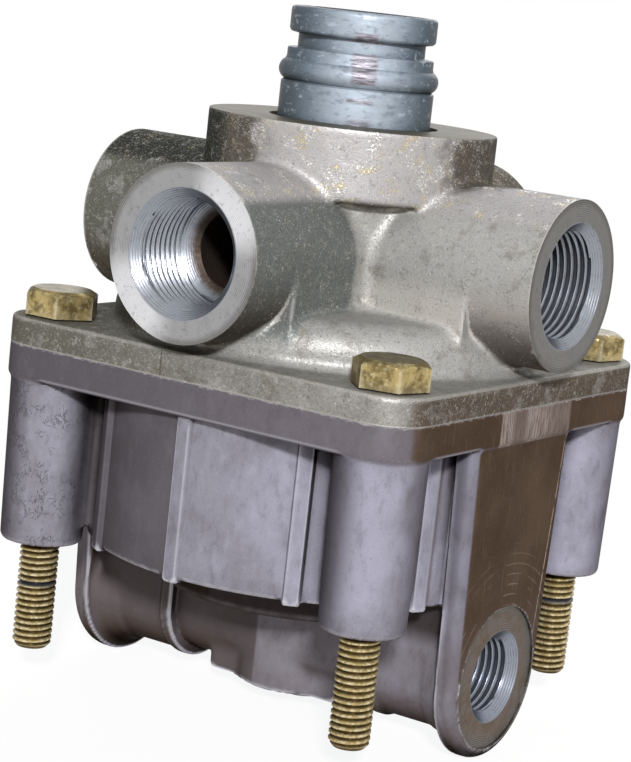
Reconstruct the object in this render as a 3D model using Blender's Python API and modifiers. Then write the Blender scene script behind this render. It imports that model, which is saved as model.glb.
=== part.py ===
"""Compressed-air relay valve: two bolted castings, an exhaust neck, two pistons and a double-seat valve."""
import math

import bmesh
import bpy
from mathutils import Matrix, Vector

# Sizes are in millimetres. The parting plane of the two castings is Z = 0, the exhaust neck's
# axis is Z, and the ports lie along X and Y. A piece keeps CLEARANCE to its neighbour.
MM = 0.001
CLEARANCE = 0.3

# Bolts through both flanges.
BOLT_R = 3.95
BOLT_HOLE_ROOM = 0.35
BOLT_HEAD_AF = 13.0
BOLT_HEAD = 5.2
BOLT_HEAD_ROOM = 1.1
BOLT_UNDER_HEAD = 67.5
BOLT_TIP = 1.2
HEX_TURN = {"front": 15, "left": 2, "right": 20, "rear": 10}

# Flanges and the cylinder that both castings share.
PISTON_BORE_R = 39.5
CYLINDER_WALL = 5.5
BOLT_EDGE = 9.1
FLANGE_CORNER_R = 8.5
UPPER_FLANGE = 5.4
LOWER_FLANGE = 6.7
FLANGE_ROUND = 0.9

# Round seal rings, and the room of their grooves.
RING_R = 1.3
SMALL_RING_R = 0.9
RING_ROOM = 0.2
RING_SEAT = 0.1
HOUSING_RING_OUT = 2.5

# Upper casting: shoulder, column and collar.
SHOULDER_TOP = 14.65
SHOULDER_ROUND = 6.0
SHOULDER_DROP = 0.4
SHOULDER_FOOT = 0.6
SHOULDER_FILLET = 2.2
COLUMN_FILLET = 3.0
COLUMN_R = 24.5
COLLAR_R = 28.7
COLLAR_BASE = 35.0
COLLAR_TOP = 48.9
COLLAR_ROUND = 2.0
COLLAR_EDGE = 1.2

# Upper casting: four threaded ports on flat-sided pedestals.
PORT_HEIGHT = 24.2
PORT_R = 16.6
PORT_OVERHANG = 5.2
PEDESTAL_SETBACK = 13.3
PEDESTAL_ROUND = 1.2
PORT_THREAD_R = 10.25
PORT_CHAMFER = 1.85
PORT_THREAD_DEPTH = 14.0
PORT_BORE_R = 7.4
DRILL_SLOPE = 0.6

# Exhaust neck, its liner, and the snap ring that holds it in the collar.
NECK_R = 15.2
NECK_BEAD = 0.65
NECK_BEAD_HALF = 2.3
NECK_BEAD_ABOVE = 9.1
NECK_STEP = 0.7
NECK_STEP_ABOVE = 12.8
NECK_STEP_ROUND = 0.4
NECK_GROOVE = 1.9
NECK_GROOVE_WIDTH = 3.5
NECK_RIM = 5.2
NECK_RIM_ROUND = 0.9
NECK_WALL = 1.3
NECK_FOOT = 1.2
NECK_SPIGOT = 1.0
NECK_SPIGOT_LENGTH = 1.7
NECK_SEAL_LAND = 9.6
LINER_WALL = 0.8
LINER_DEPTH = 4.2
LINER_BELOW_RIM = 0.5
CLIP_BELOW_COLLAR = 4.1
CLIP_THICKNESS = 1.4
CLIP_REACH = 1.7
CLIP_GAP_HALF_ANGLE = 22.0

# Double-seat valve: hollow tube with a rubber disc, its guide, spring and seats.
TUBE_BORE_R = 5.6
TUBE_WALL = 2.1
TUBE_STANDS_OUT = 4.0
GUIDE_BELOW_CLIP = 1.8
NOSE_LAND = 1.7
NOSE_WALL = 2.3
NOSE_ROUND = 0.7
NOSE_BORE_DEPTH = 14.0
SEAT_AIR_GAP = 1.7
SEAT_LAND = 1.1
SEAT_FOOT = 1.2
SEAT_HEIGHT = 2.6
DISC_OVERLAP = 2.3
DISC_RUBBER = 2.3
DISC_LIP = 0.6
VALVE_FLANGE = 1.8
VALVE_FILLET = 1.2
SPRING_WIRE_R = 0.75
SPRING_OUT = 2.6
SPRING_TURNS = 3.0
SPRING_END_TURN = 0.5
SPRING_SEAT = 0.8
SPRING_SEAT_EDGE = 1.6

# Air ways inside the upper casting.
ROOF_WALL = 4.4
ROOF_CONE = 3.0
CHAMBER_WALL = 3.15
DELIVERY_WALL = 4.6
DELIVERY_TAPER = 2.0
DELIVERY_ROOF_STEP = 6.0
DUCT_HALF = 5.2
DUCT_FROM_CHAMBER = 4.0
DUCT_OVERLAP = 2.0
SUPPLY_REACH = 1.5

# Relay piston and the cylinder's floor.
PISTON_TRAVEL = 4.0
VALVE_TRAVEL = 2.0
CROWN_BELOW_JOINT = 7.0
PISTON_CROWN = 4.0
PISTON_SKIRT = 3.0
PISTON_FILLET = 3.0
PISTON_EDGE = 0.7
PISTON_RING_BELOW = 3.2
PISTON_HUB_R = 11.0
PISTON_HUB = 6.0
PISTON_RIBS = 6
PISTON_RIB = 2.4
PISTON_RIB_DEPTH = 4.0
CYLINDER_DEPTH = 34.0
CYLINDER_FLOOR = 4.2
WALL_END_ROUND = 0.8

# Control piston, its drum under the cylinder's floor, and the air ways to both chambers.
CONTROL_WALL = 3.5
CONTROL_RIM = 6.0
CONTROL_DEPTH = 8.0
CONTROL_FLOOR = 4.2
CONTROL_PISTON = 7.0
PUSHER_R = 8.0
PUSHER_FLARE = 2.0
PUSHER_ROUND = 0.5
CONTROL_DRILL_R = 4.6
CONTROL_RISER_R = 4.1
RELAY_RISER_R = 2.95
RISER_ROOM = 0.4
RISER_OVERLAP = 2.0
DRUM_FILLET = 2.0
DRUM_ROUND = 2.0

# Ribs on the cylinder's outside.
RIB_WIDTH = 3.4
RIB_PROUD = 0.8
RIB_PITCH = 31.3
RIB_TURN = -1.0
RIB_OVERRUN = 0.6
RIBS_A_SIDE = 6
RIB_FREE_ANGLE = 22.0

# Bolt bosses under the lower flange.
BOSS_R = 8.7
BOSS_END_R = 8.15
BOSS_LENGTH = 32.8
BOSS_ROUND = 0.8
BOSS_WEB = 9.0
BOSS_WEB_LENGTH = 29.0

# Control-port lugs, the arms between them, and the cap under the drum.
LUG_THICKNESS = 4.5
LUG_R = 16.5
LUG_BELOW_DRUM = 7.7
LUG_SPOT_R = 14.3
LUG_SPOT_DEPTH = 0.4
CONTROL_THREAD_R = 7.25
CONTROL_CHAMFER = 1.95
CONTROL_THREAD_DEPTH = 13.0
ARM_R = 12.5
ARM_FLARE = 1.6
ARM_FLARE_LENGTH = 4.5
FLARE_LIP = 0.35
THIN_ARM_R = 11.0
GUSSET_R = 13.2
GUSSET_X = 24.6
GUSSET = 2.8
CAP_BOSS_R = 11.5
CAP_BOSS_ROUND = 0.8
CAP_BAR_LENGTH = 32.4
CAP_BAR_WIDTH = 16.0
CAP_BAR_STEP = 0.2
CAP_ROUND = 2.0

# Steps of large, middle and small round shapes, and of a quarter arc. Guides run on by
# SINK or OVERLAP into what they join, so that no two of their faces coincide.
BIG_STEPS = 36
MEDIUM_STEPS = 26
SMALL_STEPS = 12
ARC_STEPS = 2
SINK = 0.06
OVERLAP = 2.0

# Places and sizes that follow.
WALL_R = PISTON_BORE_R + CYLINDER_WALL
HEAD_CORNER_R = BOLT_HEAD_AF / math.sqrt(3.0)
BOLT_CIRCLE_R = WALL_R + SHOULDER_FOOT + BOLT_HEAD_ROOM + HEAD_CORNER_R
BOLT_HOLE_R = BOLT_R + BOLT_HOLE_ROOM
FLANGE_HALF = BOLT_CIRCLE_R / math.sqrt(2.0) + BOLT_EDGE
PORT_FACE = FLANGE_HALF + PORT_OVERHANG
HALF_GAP = CLEARANCE / 2.0

TUBE_R = TUBE_BORE_R + TUBE_WALL
GUIDE_R = TUBE_R + CLEARANCE
NOSE_R = TUBE_BORE_R + NOSE_LAND
SEAT_BORE_R = NOSE_R + SEAT_AIR_GAP
SEAT_R = SEAT_BORE_R + SEAT_LAND
DISC_R = SEAT_R + DISC_OVERLAP

DELIVERY_ROOF_Z = SHOULDER_TOP - ROOF_WALL
CHAMBER_FLOOR_Z = DELIVERY_ROOF_Z + ROOF_CONE + CHAMBER_WALL
SEAT_Z = CHAMBER_FLOOR_Z + SEAT_HEIGHT
DISC_Z = SEAT_Z + CLEARANCE
CLIP_Z = COLLAR_TOP - CLIP_BELOW_COLLAR
NECK_FOOT_Z = CLIP_Z - NECK_SEAL_LAND
CHAMBER_ROOF_Z = NECK_FOOT_Z - NECK_SPIGOT_LENGTH
GUIDE_TOP_Z = CLIP_Z - GUIDE_BELOW_CLIP
NECK_BEAD_Z = COLLAR_TOP + NECK_BEAD_ABOVE
NECK_STEP_Z = COLLAR_TOP + NECK_STEP_ABOVE
NECK_GROOVE_Z = NECK_STEP_Z + NECK_GROOVE_WIDTH
NECK_TOP_Z = NECK_GROOVE_Z + NECK_RIM
NECK_FOOT_R = NECK_R + NECK_FOOT
NECK_STEP_R = NECK_R - NECK_STEP
NECK_GROOVE_R = NECK_STEP_R - NECK_GROOVE
NECK_BORE_R = NECK_GROOVE_R - NECK_WALL
CHAMBER_R = NECK_FOOT_R - NECK_SPIGOT

FLOOR_Z = -CYLINDER_DEPTH
WALL_END_Z = FLOOR_Z - CYLINDER_FLOOR
SKIRT_R = PISTON_BORE_R - CLEARANCE - PISTON_SKIRT
DRUM_R = SKIRT_R - 2 * (RELAY_RISER_R + RISER_ROOM)
CONTROL_BORE_R = DRUM_R - CONTROL_WALL
CONTROL_FLOOR_Z = FLOOR_Z - CONTROL_DEPTH
DRUM_END_Z = CONTROL_FLOOR_Z - CONTROL_FLOOR
PUSH_Z = FLOOR_Z + CONTROL_RIM / 2
LUG_AXIS_Z = DRUM_END_Z - LUG_BELOW_DRUM
CAP_END_Z = LUG_AXIS_Z - ARM_R
LUG_FACE = FLANGE_HALF - LUG_SPOT_DEPTH
LUG_BACK = LUG_FACE - LUG_THICKNESS
BOSS_END_Z = -LOWER_FLANGE - BOSS_LENGTH
HOUSING_RING_R = PISTON_BORE_R + HOUSING_RING_OUT

for old in list(bpy.data.objects):
    bpy.data.objects.remove(old, do_unlink=True)

PARTS = bpy.data.collections.new("relay_valve")
TOOLING = bpy.data.collections.new("cores_and_cutters")
bpy.context.scene.collection.children.link(PARTS)
bpy.context.scene.collection.children.link(TOOLING)


def finish(name, colour, roughness, metallic):
    """A Principled material with one plain colour."""
    material = bpy.data.materials.new(name)
    material.use_nodes = True
    shader = material.node_tree.nodes["Principled BSDF"]
    shader.inputs["Base Color"].default_value = (*colour, 1.0)
    shader.inputs["Roughness"].default_value = roughness
    shader.inputs["Metallic"].default_value = metallic
    material.diffuse_color = (*colour, 1.0)
    return material


def add_object(name, mesh, tool=False):
    """An object for a mesh: a part of the valve, or a guide that only shapes one."""
    obj = bpy.data.objects.new(name, mesh)
    if tool:
        TOOLING.objects.link(obj)
        obj.hide_render = True
        obj.display_type = "WIRE"
    else:
        PARTS.objects.link(obj)
    return obj


def arc(centre_r, centre_z, radius, start, end, steps=ARC_STEPS):
    """Points of an arc in a profile, angles in degrees from the outward direction, up positive."""
    points = []
    for i in range(steps + 1):
        a = math.radians(start + (end - start) * i / steps)
        points.append((centre_r + radius * math.cos(a), centre_z + radius * math.sin(a)))
    return points


def lathe(name, profile, steps=MEDIUM_STEPS, tool=False, closed=False):
    """A turned solid. The profile lists (radius, height), down the outer side from top to bottom."""
    mesh = bpy.data.meshes.new(name)
    points = [(r * MM, 0.0, z * MM) for r, z in profile]
    edges = [(i, i + 1) for i in range(len(points) - 1)]
    if closed:
        edges.append((len(points) - 1, 0))
    mesh.from_pydata(points, edges, [])
    obj = add_object(name, mesh, tool)
    screw = obj.modifiers.new("turn", "SCREW")
    screw.axis = "Z"
    screw.angle = math.tau
    screw.steps = steps
    screw.render_steps = steps
    screw.use_merge_vertices = True
    screw.merge_threshold = 0.00001
    screw.use_smooth_shade = True
    return obj


def rod(name, radius, low, high, steps=MEDIUM_STEPS):
    """A guide: a plain cylinder along Z between two heights."""
    return lathe(name, [(0, high), (radius, high), (radius, low), (0, low)], steps, True)


def ring(name, centre_r, centre_z, section_r, steps=MEDIUM_STEPS - 4):
    """A seal ring of round section."""
    section = arc(centre_r, centre_z, section_r, 90, -270, 6)[:-1]
    return lathe(name, section, steps, closed=True)


def solid_from_curve(name, curve, tool):
    """The closed mesh of a filled or bevelled curve, with its caps welded on."""
    guide = add_object(name + "_curve", curve, True)
    bpy.context.view_layer.update()
    depsgraph = bpy.context.evaluated_depsgraph_get()
    mesh = bpy.data.meshes.new_from_object(guide.evaluated_get(depsgraph))
    bpy.data.objects.remove(guide, do_unlink=True)
    bm = bmesh.new()
    bm.from_mesh(mesh)
    bmesh.ops.remove_doubles(bm, verts=bm.verts, dist=0.00001)
    bmesh.ops.dissolve_limit(bm, angle_limit=math.radians(0.1), verts=bm.verts, edges=bm.edges)
    bmesh.ops.recalc_face_normals(bm, faces=bm.faces)
    bm.to_mesh(mesh)
    bm.free()
    return add_object(name, mesh, tool)


def plate(name, outline, low, high, tool=True):
    """A flat outline, given in X and Y, made a solid between two heights."""
    curve = bpy.data.curves.new(name, "CURVE")
    curve.dimensions = "2D"
    curve.fill_mode = "BOTH"
    curve.extrude = (high - low) / 2 * MM
    spline = curve.splines.new("POLY")
    spline.points.add(len(outline) - 1)
    for point, (x, y) in zip(spline.points, outline):
        point.co = (x * MM, y * MM, 0.0, 1.0)
    spline.use_cyclic_u = True
    flat = solid_from_curve(name, curve, tool)
    flat.data.transform(Matrix.Translation((0.0, 0.0, (low + high) / 2 * MM)))
    return flat


def channel(name, half_width, top, start, end):
    """A cast channel along X at the lugs' height: upright sides and a round underside."""
    outline = [(half_width, top - LUG_AXIS_Z)]
    outline += arc(0, 0, half_width, 0, -180, 2 * (MEDIUM_STEPS // 4))
    outline += [(-half_width, top - LUG_AXIS_Z)]
    solid = plate(name, outline, start, end)
    along_x = Matrix.Rotation(math.radians(90), 4, "Y") @ Matrix.Rotation(math.radians(90), 4, "Z")
    solid.data.transform(Matrix.Translation((0, 0, LUG_AXIS_Z * MM)) @ along_x)
    return solid


def block(name, low, high):
    """A guide: a box between two corners."""
    mesh = bpy.data.meshes.new(name)
    bm = bmesh.new()
    size = [(b - a) * MM for a, b in zip(low, high)]
    middle = Vector([(a + b) / 2 * MM for a, b in zip(low, high)])
    shape = Matrix.Translation(middle) @ Matrix.Diagonal((*size, 1.0))
    bmesh.ops.create_cube(bm, size=1.0, matrix=shape)
    bm.to_mesh(mesh)
    bm.free()
    return add_object(name, mesh, True)


def rounded_square(half, corner, steps=ARC_STEPS + 2):
    """Outline of a square with round corners."""
    points = []
    for quarter in range(4):
        turn = Matrix.Rotation(math.radians(90 * quarter), 2)
        for x, y in arc(half - corner, half - corner, corner, 0, 90, steps):
            points.append(tuple(turn @ Vector((x, y))))
    return points


def round_edges(obj, width, chosen, segments=3):
    """Bevel the edges of a plain mesh that the test picks by their two ends, in millimetres."""
    bm = bmesh.new()
    bm.from_mesh(obj.data)
    flat = math.radians(28)
    edges = [e for e in bm.edges
             if e.calc_face_angle() > flat and chosen(e.verts[0].co / MM, e.verts[1].co / MM)]
    bmesh.ops.bevel(bm, geom=edges, offset=width * MM, segments=segments, profile=0.5,
                    affect="EDGES", clamp_overlap=True)
    bm.to_mesh(obj.data)
    bm.free()
    return obj


def combine(obj, operation, others):
    """Join guides to a part or cut them from it, keeping each as a Boolean modifier."""
    for other in others:
        modifier = obj.modifiers.new(other.name, "BOOLEAN")
        modifier.operation = operation
        modifier.solver = "EXACT"
        modifier.object = other
    return obj


def lay(obj, direction, height):
    """Turn a guide made along Z so that its +Z points along a horizontal direction."""
    heading = Vector((math.cos(math.radians(direction)), math.sin(math.radians(direction)), 0.0))
    turned = heading.to_track_quat("Z", "Y").to_matrix().to_4x4()
    obj.matrix_world = Matrix.Translation((0, 0, height * MM)) @ turned
    return obj


def at_bolt(obj, number):
    """Put an upright guide on the axis of one of the four bolts, numbered from +X +Y on."""
    turn = math.radians(45 + 90 * number)
    obj.location = Vector((math.cos(turn), math.sin(turn), 0.0)) * BOLT_CIRCLE_R * MM
    return obj


def shade(obj, material, angle=32):
    """Give a part its material and smooth its round faces."""
    obj.data.materials.append(material)
    for polygon in obj.data.polygons:
        polygon.use_smooth = True
    if obj.data.polygons:
        obj.data.set_sharp_from_angle(angle=math.radians(angle))
    return obj


SAND_ALUMINIUM = finish("upper_casting_aluminium", (0.40, 0.39, 0.35), 0.50, 0.85)
DIE_ALUMINIUM = finish("lower_casting_aluminium", (0.38, 0.37, 0.39), 0.45, 0.85)
PISTON_ALUMINIUM = finish("piston_aluminium", (0.55, 0.56, 0.57), 0.40, 0.90)
ZINC = finish("dark_zinc", (0.16, 0.20, 0.23), 0.35, 0.85)
YELLOW_ZINC = finish("yellow_zinc_steel", (0.50, 0.40, 0.16), 0.35, 0.90)
BRASS = finish("brass", (0.62, 0.46, 0.18), 0.30, 1.0)
SPRING_STEEL = finish("spring_steel", (0.35, 0.35, 0.36), 0.30, 1.0)
RUBBER = finish("black_rubber", (0.02, 0.02, 0.02), 0.65, 0.0)
ACETAL = finish("white_acetal", (0.80, 0.80, 0.76), 0.45, 0.0)


def port_core(name, face, chamfer, thread_r, depth, bore_r, reach):
    """Cutter of a threaded port along Z: the mouth's chamfer, the thread's bore, then the drilling."""
    mouth_r = thread_r + chamfer
    profile = [(0, face + OVERLAP), (mouth_r + OVERLAP, face + OVERLAP), (mouth_r, face)]
    profile += [(thread_r, face - chamfer), (thread_r, face - depth)]
    profile += [(bore_r, face - depth - (thread_r - bore_r) * DRILL_SLOPE), (bore_r, reach), (0, reach)]
    return lathe(name, profile, SMALL_STEPS + 4, True)


def shoulder_and_collar():
    """Turned body of the upper casting, from the collar's ring down to the shoulder's foot."""
    foot_r = WALL_R + SHOULDER_FOOT
    round_r = foot_r - SHOULDER_FILLET - SHOULDER_ROUND
    round_z = SHOULDER_TOP - SHOULDER_DROP - SHOULDER_ROUND
    turned = [(0, COLLAR_TOP)]
    turned += arc(COLLAR_R - COLLAR_ROUND, COLLAR_TOP - COLLAR_ROUND, COLLAR_ROUND, 90, 0)
    turned += arc(COLLAR_R - COLLAR_EDGE, COLLAR_BASE + COLLAR_EDGE, COLLAR_EDGE, 0, -90)
    turned += arc(COLUMN_R + COLLAR_EDGE, COLLAR_BASE - COLLAR_EDGE, COLLAR_EDGE, 90, 180)
    turned += arc(COLUMN_R + COLUMN_FILLET, SHOULDER_TOP + COLUMN_FILLET, COLUMN_FILLET, 180, 270)
    turned += arc(round_r, round_z, SHOULDER_ROUND, 80, 0, 3)
    turned += arc(foot_r, UPPER_FLANGE + SHOULDER_FILLET, SHOULDER_FILLET, 180, 262)
    turned += [(foot_r, UPPER_FLANGE - OVERLAP), (0, UPPER_FLANGE - OVERLAP)]
    return lathe("shoulder_and_collar", turned, BIG_STEPS, True)


def valve_bore():
    """Cutter of the neck's seat, the clip's groove, the valve chamber and the inlet seat."""
    neck_r = NECK_FOOT_R + CLEARANCE
    groove_r = neck_r + CLIP_REACH
    groove_top = CLIP_Z + CLIP_THICKNESS + CLEARANCE
    groove_low = CLIP_Z - CLEARANCE
    foot = NECK_FOOT_Z - CLEARANCE
    profile = [(0, COLLAR_TOP + OVERLAP), (neck_r, COLLAR_TOP + OVERLAP), (neck_r, groove_top)]
    profile += [(groove_r, groove_top), (groove_r, groove_low), (neck_r, groove_low)]
    profile += [(neck_r, foot), (CHAMBER_R, foot), (CHAMBER_R, CHAMBER_FLOOR_Z)]
    profile += [(SEAT_R + SEAT_FOOT, CHAMBER_FLOOR_Z), (SEAT_R, SEAT_Z), (SEAT_BORE_R, SEAT_Z)]
    profile += [(SEAT_BORE_R, HALF_GAP), (0, HALF_GAP)]
    return lathe("valve_bore", profile, MEDIUM_STEPS, True)


def delivery_chamber():
    """Cutter of the hollow over the relay piston, which the two delivery ports open into."""
    mouth_r = WALL_R - DELIVERY_WALL - DELIVERY_TAPER
    cone_r = CHAMBER_R + SUPPLY_REACH
    roof_r = WALL_R - DELIVERY_WALL - DELIVERY_ROOF_STEP
    profile = [(0, DELIVERY_ROOF_Z + ROOF_CONE), (cone_r, DELIVERY_ROOF_Z + ROOF_CONE)]
    profile += [((cone_r + roof_r) / 2, DELIVERY_ROOF_Z), (roof_r, DELIVERY_ROOF_Z)]
    profile += [(mouth_r, UPPER_FLANGE), (mouth_r, -OVERLAP), (0, -OVERLAP)]
    return lathe("delivery_chamber", profile, MEDIUM_STEPS, True)


def upper_housing():
    """The casting with the four threaded ports, the valve chamber and the inlet seat."""
    square = rounded_square(FLANGE_HALF, FLANGE_CORNER_R)
    body = plate("upper_housing", square, HALF_GAP, UPPER_FLANGE, False)
    round_edges(body, FLANGE_ROUND, lambda a, b: min(a.z, b.z) > UPPER_FLANGE - SINK)

    added = [shoulder_and_collar()]
    for i in range(4):
        barrel = rod("port_barrel_%d" % i, PORT_R, PORT_R + 4 * SINK, PORT_FACE)
        added.append(lay(barrel, 90 * i, PORT_HEIGHT))
    end = PORT_FACE - PEDESTAL_SETBACK
    side = PORT_R - SINK
    for name, half_x, half_y, drop in (("pedestal_x", end, side, 0), ("pedestal_y", side, end, 5 * SINK)):
        low = UPPER_FLANGE + SHOULDER_FILLET / 2 - drop
        foot = block(name, (-half_x, -half_y, low), (half_x, half_y, PORT_HEIGHT - drop))
        added.append(round_edges(foot, PEDESTAL_ROUND, lambda a, b: abs(a.z - b.z) > PEDESTAL_ROUND))
    combine(body, "UNION", added)

    removed = [valve_bore(), delivery_chamber()]
    duct_start = CHAMBER_R + DUCT_FROM_CHAMBER
    for i in range(4):
        supply = i % 2 == 0
        reach = CHAMBER_R - SUPPLY_REACH if supply else duct_start
        core = port_core("port_core_%d" % i, PORT_FACE, PORT_CHAMFER, PORT_THREAD_R, PORT_THREAD_DEPTH,
                         PORT_BORE_R, reach)
        removed.append(lay(core, 90 * i, PORT_HEIGHT))
    for name, side in (("delivery_duct_rear", 1), ("delivery_duct_front", -1)):
        near, far = sorted((side * duct_start, side * (duct_start + 2 * DUCT_HALF)))
        removed.append(block(name, (-DUCT_HALF, near, DELIVERY_ROOF_Z - DUCT_OVERLAP),
                             (DUCT_HALF, far, PORT_HEIGHT)))
    for i in range(4):
        hole = rod("upper_bolt_hole_%d" % i, BOLT_HOLE_R, -OVERLAP, SHOULDER_TOP, SMALL_STEPS)
        removed.append(at_bolt(hole, i))
    combine(body, "DIFFERENCE", removed)
    return shade(body, SAND_ALUMINIUM)


def cylinder_and_drum():
    """Turned outside of the lower casting: the cylinder's wall and the control piston's drum."""
    wall = [(0, -OVERLAP), (WALL_R, -OVERLAP)]
    wall += arc(WALL_R - WALL_END_ROUND, WALL_END_Z + WALL_END_ROUND, WALL_END_ROUND, 0, -90)
    wall += arc(DRUM_R + DRUM_FILLET, WALL_END_Z - DRUM_FILLET, DRUM_FILLET, 90, 180)
    wall += arc(DRUM_R - DRUM_ROUND, DRUM_END_Z + DRUM_ROUND, DRUM_ROUND, 0, -90, 3)
    wall += [(0, DRUM_END_Z)]
    return lathe("cylinder_wall", wall, BIG_STEPS, True)


def wall_ribs():
    """Cast ribs down the cylinder's outside, left out over the arms to the control ports."""
    ribs = []
    first = -(RIBS_A_SIDE - 1) // 2 * RIB_PITCH
    for i in range(2 * RIBS_A_SIDE):
        side = -90 if i < RIBS_A_SIDE else 90
        turn = math.radians(side + RIB_TURN + first + RIB_PITCH * (1 + i % RIBS_A_SIDE))
        if abs(math.sin(turn)) < math.sin(math.radians(RIB_FREE_ANGLE)):
            continue
        rib = block("wall_rib_%d" % i, (WALL_R - OVERLAP, -RIB_WIDTH / 2, WALL_END_Z - RIB_OVERRUN),
                    (WALL_R + RIB_PROUD, RIB_WIDTH / 2, 1 - LOWER_FLANGE))
        round_edges(rib, RIB_PROUD * 0.7, lambda a, b: min(a.x, b.x) > WALL_R, 2)
        rib.rotation_euler.z = turn
        ribs.append(rib)
    return ribs


def bolt_bosses():
    """A tapered boss under each corner of the flange, tied to the wall by a web."""
    bosses = []
    for i in range(4):
        profile = [(0, -OVERLAP), (BOSS_R, -OVERLAP), (BOSS_R, -LOWER_FLANGE)]
        profile += arc(BOSS_END_R - BOSS_ROUND, BOSS_END_Z + BOSS_ROUND, BOSS_ROUND, 0, -90)
        profile += [(0, BOSS_END_Z)]
        bosses.append(at_bolt(lathe("bolt_boss_%d" % i, profile, SMALL_STEPS + 4, True), i))
        web_low = -LOWER_FLANGE - BOSS_WEB_LENGTH
        web = block("boss_web_%d" % i, (WALL_R - 2 * OVERLAP, -BOSS_WEB / 2, web_low),
                    (BOLT_CIRCLE_R, BOSS_WEB / 2, -LOWER_FLANGE / 2))
        web.rotation_euler.z = math.radians(45 + 90 * i)
        bosses.append(web)
    return bosses


def port_arms():
    """Lugs with their spot-faced plates, the arms and gussets that carry them, and the flares."""
    overlap = GUSSET / 4
    arms = [channel("thin_arm", THIN_ARM_R, WALL_END_Z + 2.2, -GUSSET_X - overlap, GUSSET_X + overlap)]
    for side, name in ((1, "right"), (-1, "left")):
        spans = {"lug": (LUG_R, 1 - LOWER_FLANGE, LUG_BACK, LUG_FACE),
                 "arm": (ARM_R, WALL_END_Z + 1.8, GUSSET_X - overlap, LUG_BACK + OVERLAP),
                 "gusset": (GUSSET_R, WALL_END_Z + 1.4, GUSSET_X - GUSSET / 2, GUSSET_X + GUSSET / 2)}
        for piece, (half_width, top, near, far) in spans.items():
            start, end = sorted((side * near, side * far))
            arms.append(channel(piece + "_" + name, half_width, top, start, end))
        flare_r = ARM_R + ARM_FLARE
        flare_end = LUG_BACK - ARM_FLARE_LENGTH
        profile = [(0, LUG_BACK + 1), (flare_r + 1, LUG_BACK + 1), (flare_r, LUG_BACK - ARM_FLARE / 2)]
        profile += [(ARM_R + FLARE_LIP, flare_end), (0, flare_end)]
        flare = lathe("arm_flare_" + name, profile, MEDIUM_STEPS - 6, True)
        arms.append(lay(flare, 0 if side > 0 else 180, LUG_AXIS_Z))
    return arms


def cap():
    """Round boss and cross bar under the drum, flush with the arms' undersides."""
    profile = [(0, WALL_END_Z + OVERLAP), (CAP_BOSS_R, WALL_END_Z + OVERLAP)]
    profile += arc(CAP_BOSS_R - CAP_BOSS_ROUND, CAP_END_Z + CAP_BOSS_ROUND, CAP_BOSS_ROUND, 0, -90)
    profile += [(0, CAP_END_Z)]
    boss = lathe("cap_boss", profile, MEDIUM_STEPS, True)
    boss.rotation_euler.z = math.pi / MEDIUM_STEPS / 2
    bar_low = CAP_END_Z + CAP_BAR_STEP
    half_length = CAP_BAR_LENGTH / 2
    half_width = CAP_BAR_WIDTH / 2
    bar = block("cap_bar", (-half_length, -half_width, bar_low), (half_length, half_width, LUG_AXIS_Z + 1))
    round_edges(bar, CAP_ROUND, lambda a, b: min(abs(a.x), abs(b.x)) > half_length - SINK
                and a.y * b.y < 0 and max(a.z, b.z) < bar_low + SINK)
    return [boss, bar]


def control_air_ways(boss_face):
    """Cutters of the two control ports and of the risers from them to the two chambers."""
    riser_x = DRUM_R + RISER_ROOM + RELAY_RISER_R
    mouth = (boss_face, CONTROL_CHAMFER, CONTROL_THREAD_R, CONTROL_THREAD_DEPTH, CONTROL_DRILL_R)
    relay = port_core("control_core_right", *mouth, riser_x - 2 * RELAY_RISER_R)
    control = port_core("control_core_left", *mouth, -CONTROL_DRILL_R)
    relay_riser = rod("relay_riser", RELAY_RISER_R, LUG_AXIS_Z, FLOOR_Z + RISER_OVERLAP, SMALL_STEPS)
    relay_riser.location.x = riser_x * MM
    control_riser = rod("control_riser", CONTROL_RISER_R, LUG_AXIS_Z, CONTROL_FLOOR_Z + RISER_OVERLAP,
                        SMALL_STEPS)
    return [lay(relay, 0, LUG_AXIS_Z), lay(control, 180, LUG_AXIS_Z), relay_riser, control_riser]


def control_housing():
    """The lower casting: cylinder wall, ribs, bolt bosses, two control-port lugs and the cap."""
    square = rounded_square(FLANGE_HALF, FLANGE_CORNER_R)
    body = plate("control_housing", square, -LOWER_FLANGE, -HALF_GAP, False)
    round_edges(body, FLANGE_ROUND, lambda a, b: max(a.z, b.z) < SINK - LOWER_FLANGE)
    combine(body, "UNION", [cylinder_and_drum()] + wall_ribs() + bolt_bosses() + port_arms() + cap())

    rim = FLOOR_Z + CONTROL_RIM
    bore = [(0, OVERLAP), (PISTON_BORE_R, OVERLAP), (PISTON_BORE_R, FLOOR_Z), (DRUM_R, FLOOR_Z)]
    bore += [(DRUM_R, rim), (CONTROL_BORE_R, rim), (CONTROL_BORE_R, CONTROL_FLOOR_Z), (0, CONTROL_FLOOR_Z)]
    removed = [lathe("piston_bore", bore, BIG_STEPS, True)]
    groove_half = RING_R + CLEARANCE
    groove_low = -HALF_GAP - 2 * RING_R
    groove = [(HOUSING_RING_R + groove_half, OVERLAP), (HOUSING_RING_R + groove_half, groove_low)]
    groove += [(HOUSING_RING_R - groove_half, groove_low), (HOUSING_RING_R - groove_half, OVERLAP)]
    removed.append(lathe("seal_groove", groove, BIG_STEPS, True, True))
    spot_face = LUG_FACE - LUG_SPOT_DEPTH
    for name, direction in (("lug_spot_right", 0), ("lug_spot_left", 180)):
        spot = rod(name, LUG_SPOT_R, spot_face, LUG_FACE + OVERLAP)
        removed.append(lay(spot, direction, LUG_AXIS_Z))
    removed += control_air_ways(spot_face)
    for i in range(4):
        hole = rod("lower_bolt_hole_%d" % i, BOLT_HOLE_R, BOSS_END_Z - OVERLAP, OVERLAP, SMALL_STEPS)
        removed.append(at_bolt(hole, i))
    combine(body, "DIFFERENCE", removed)
    return shade(body, DIE_ALUMINIUM)


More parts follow.
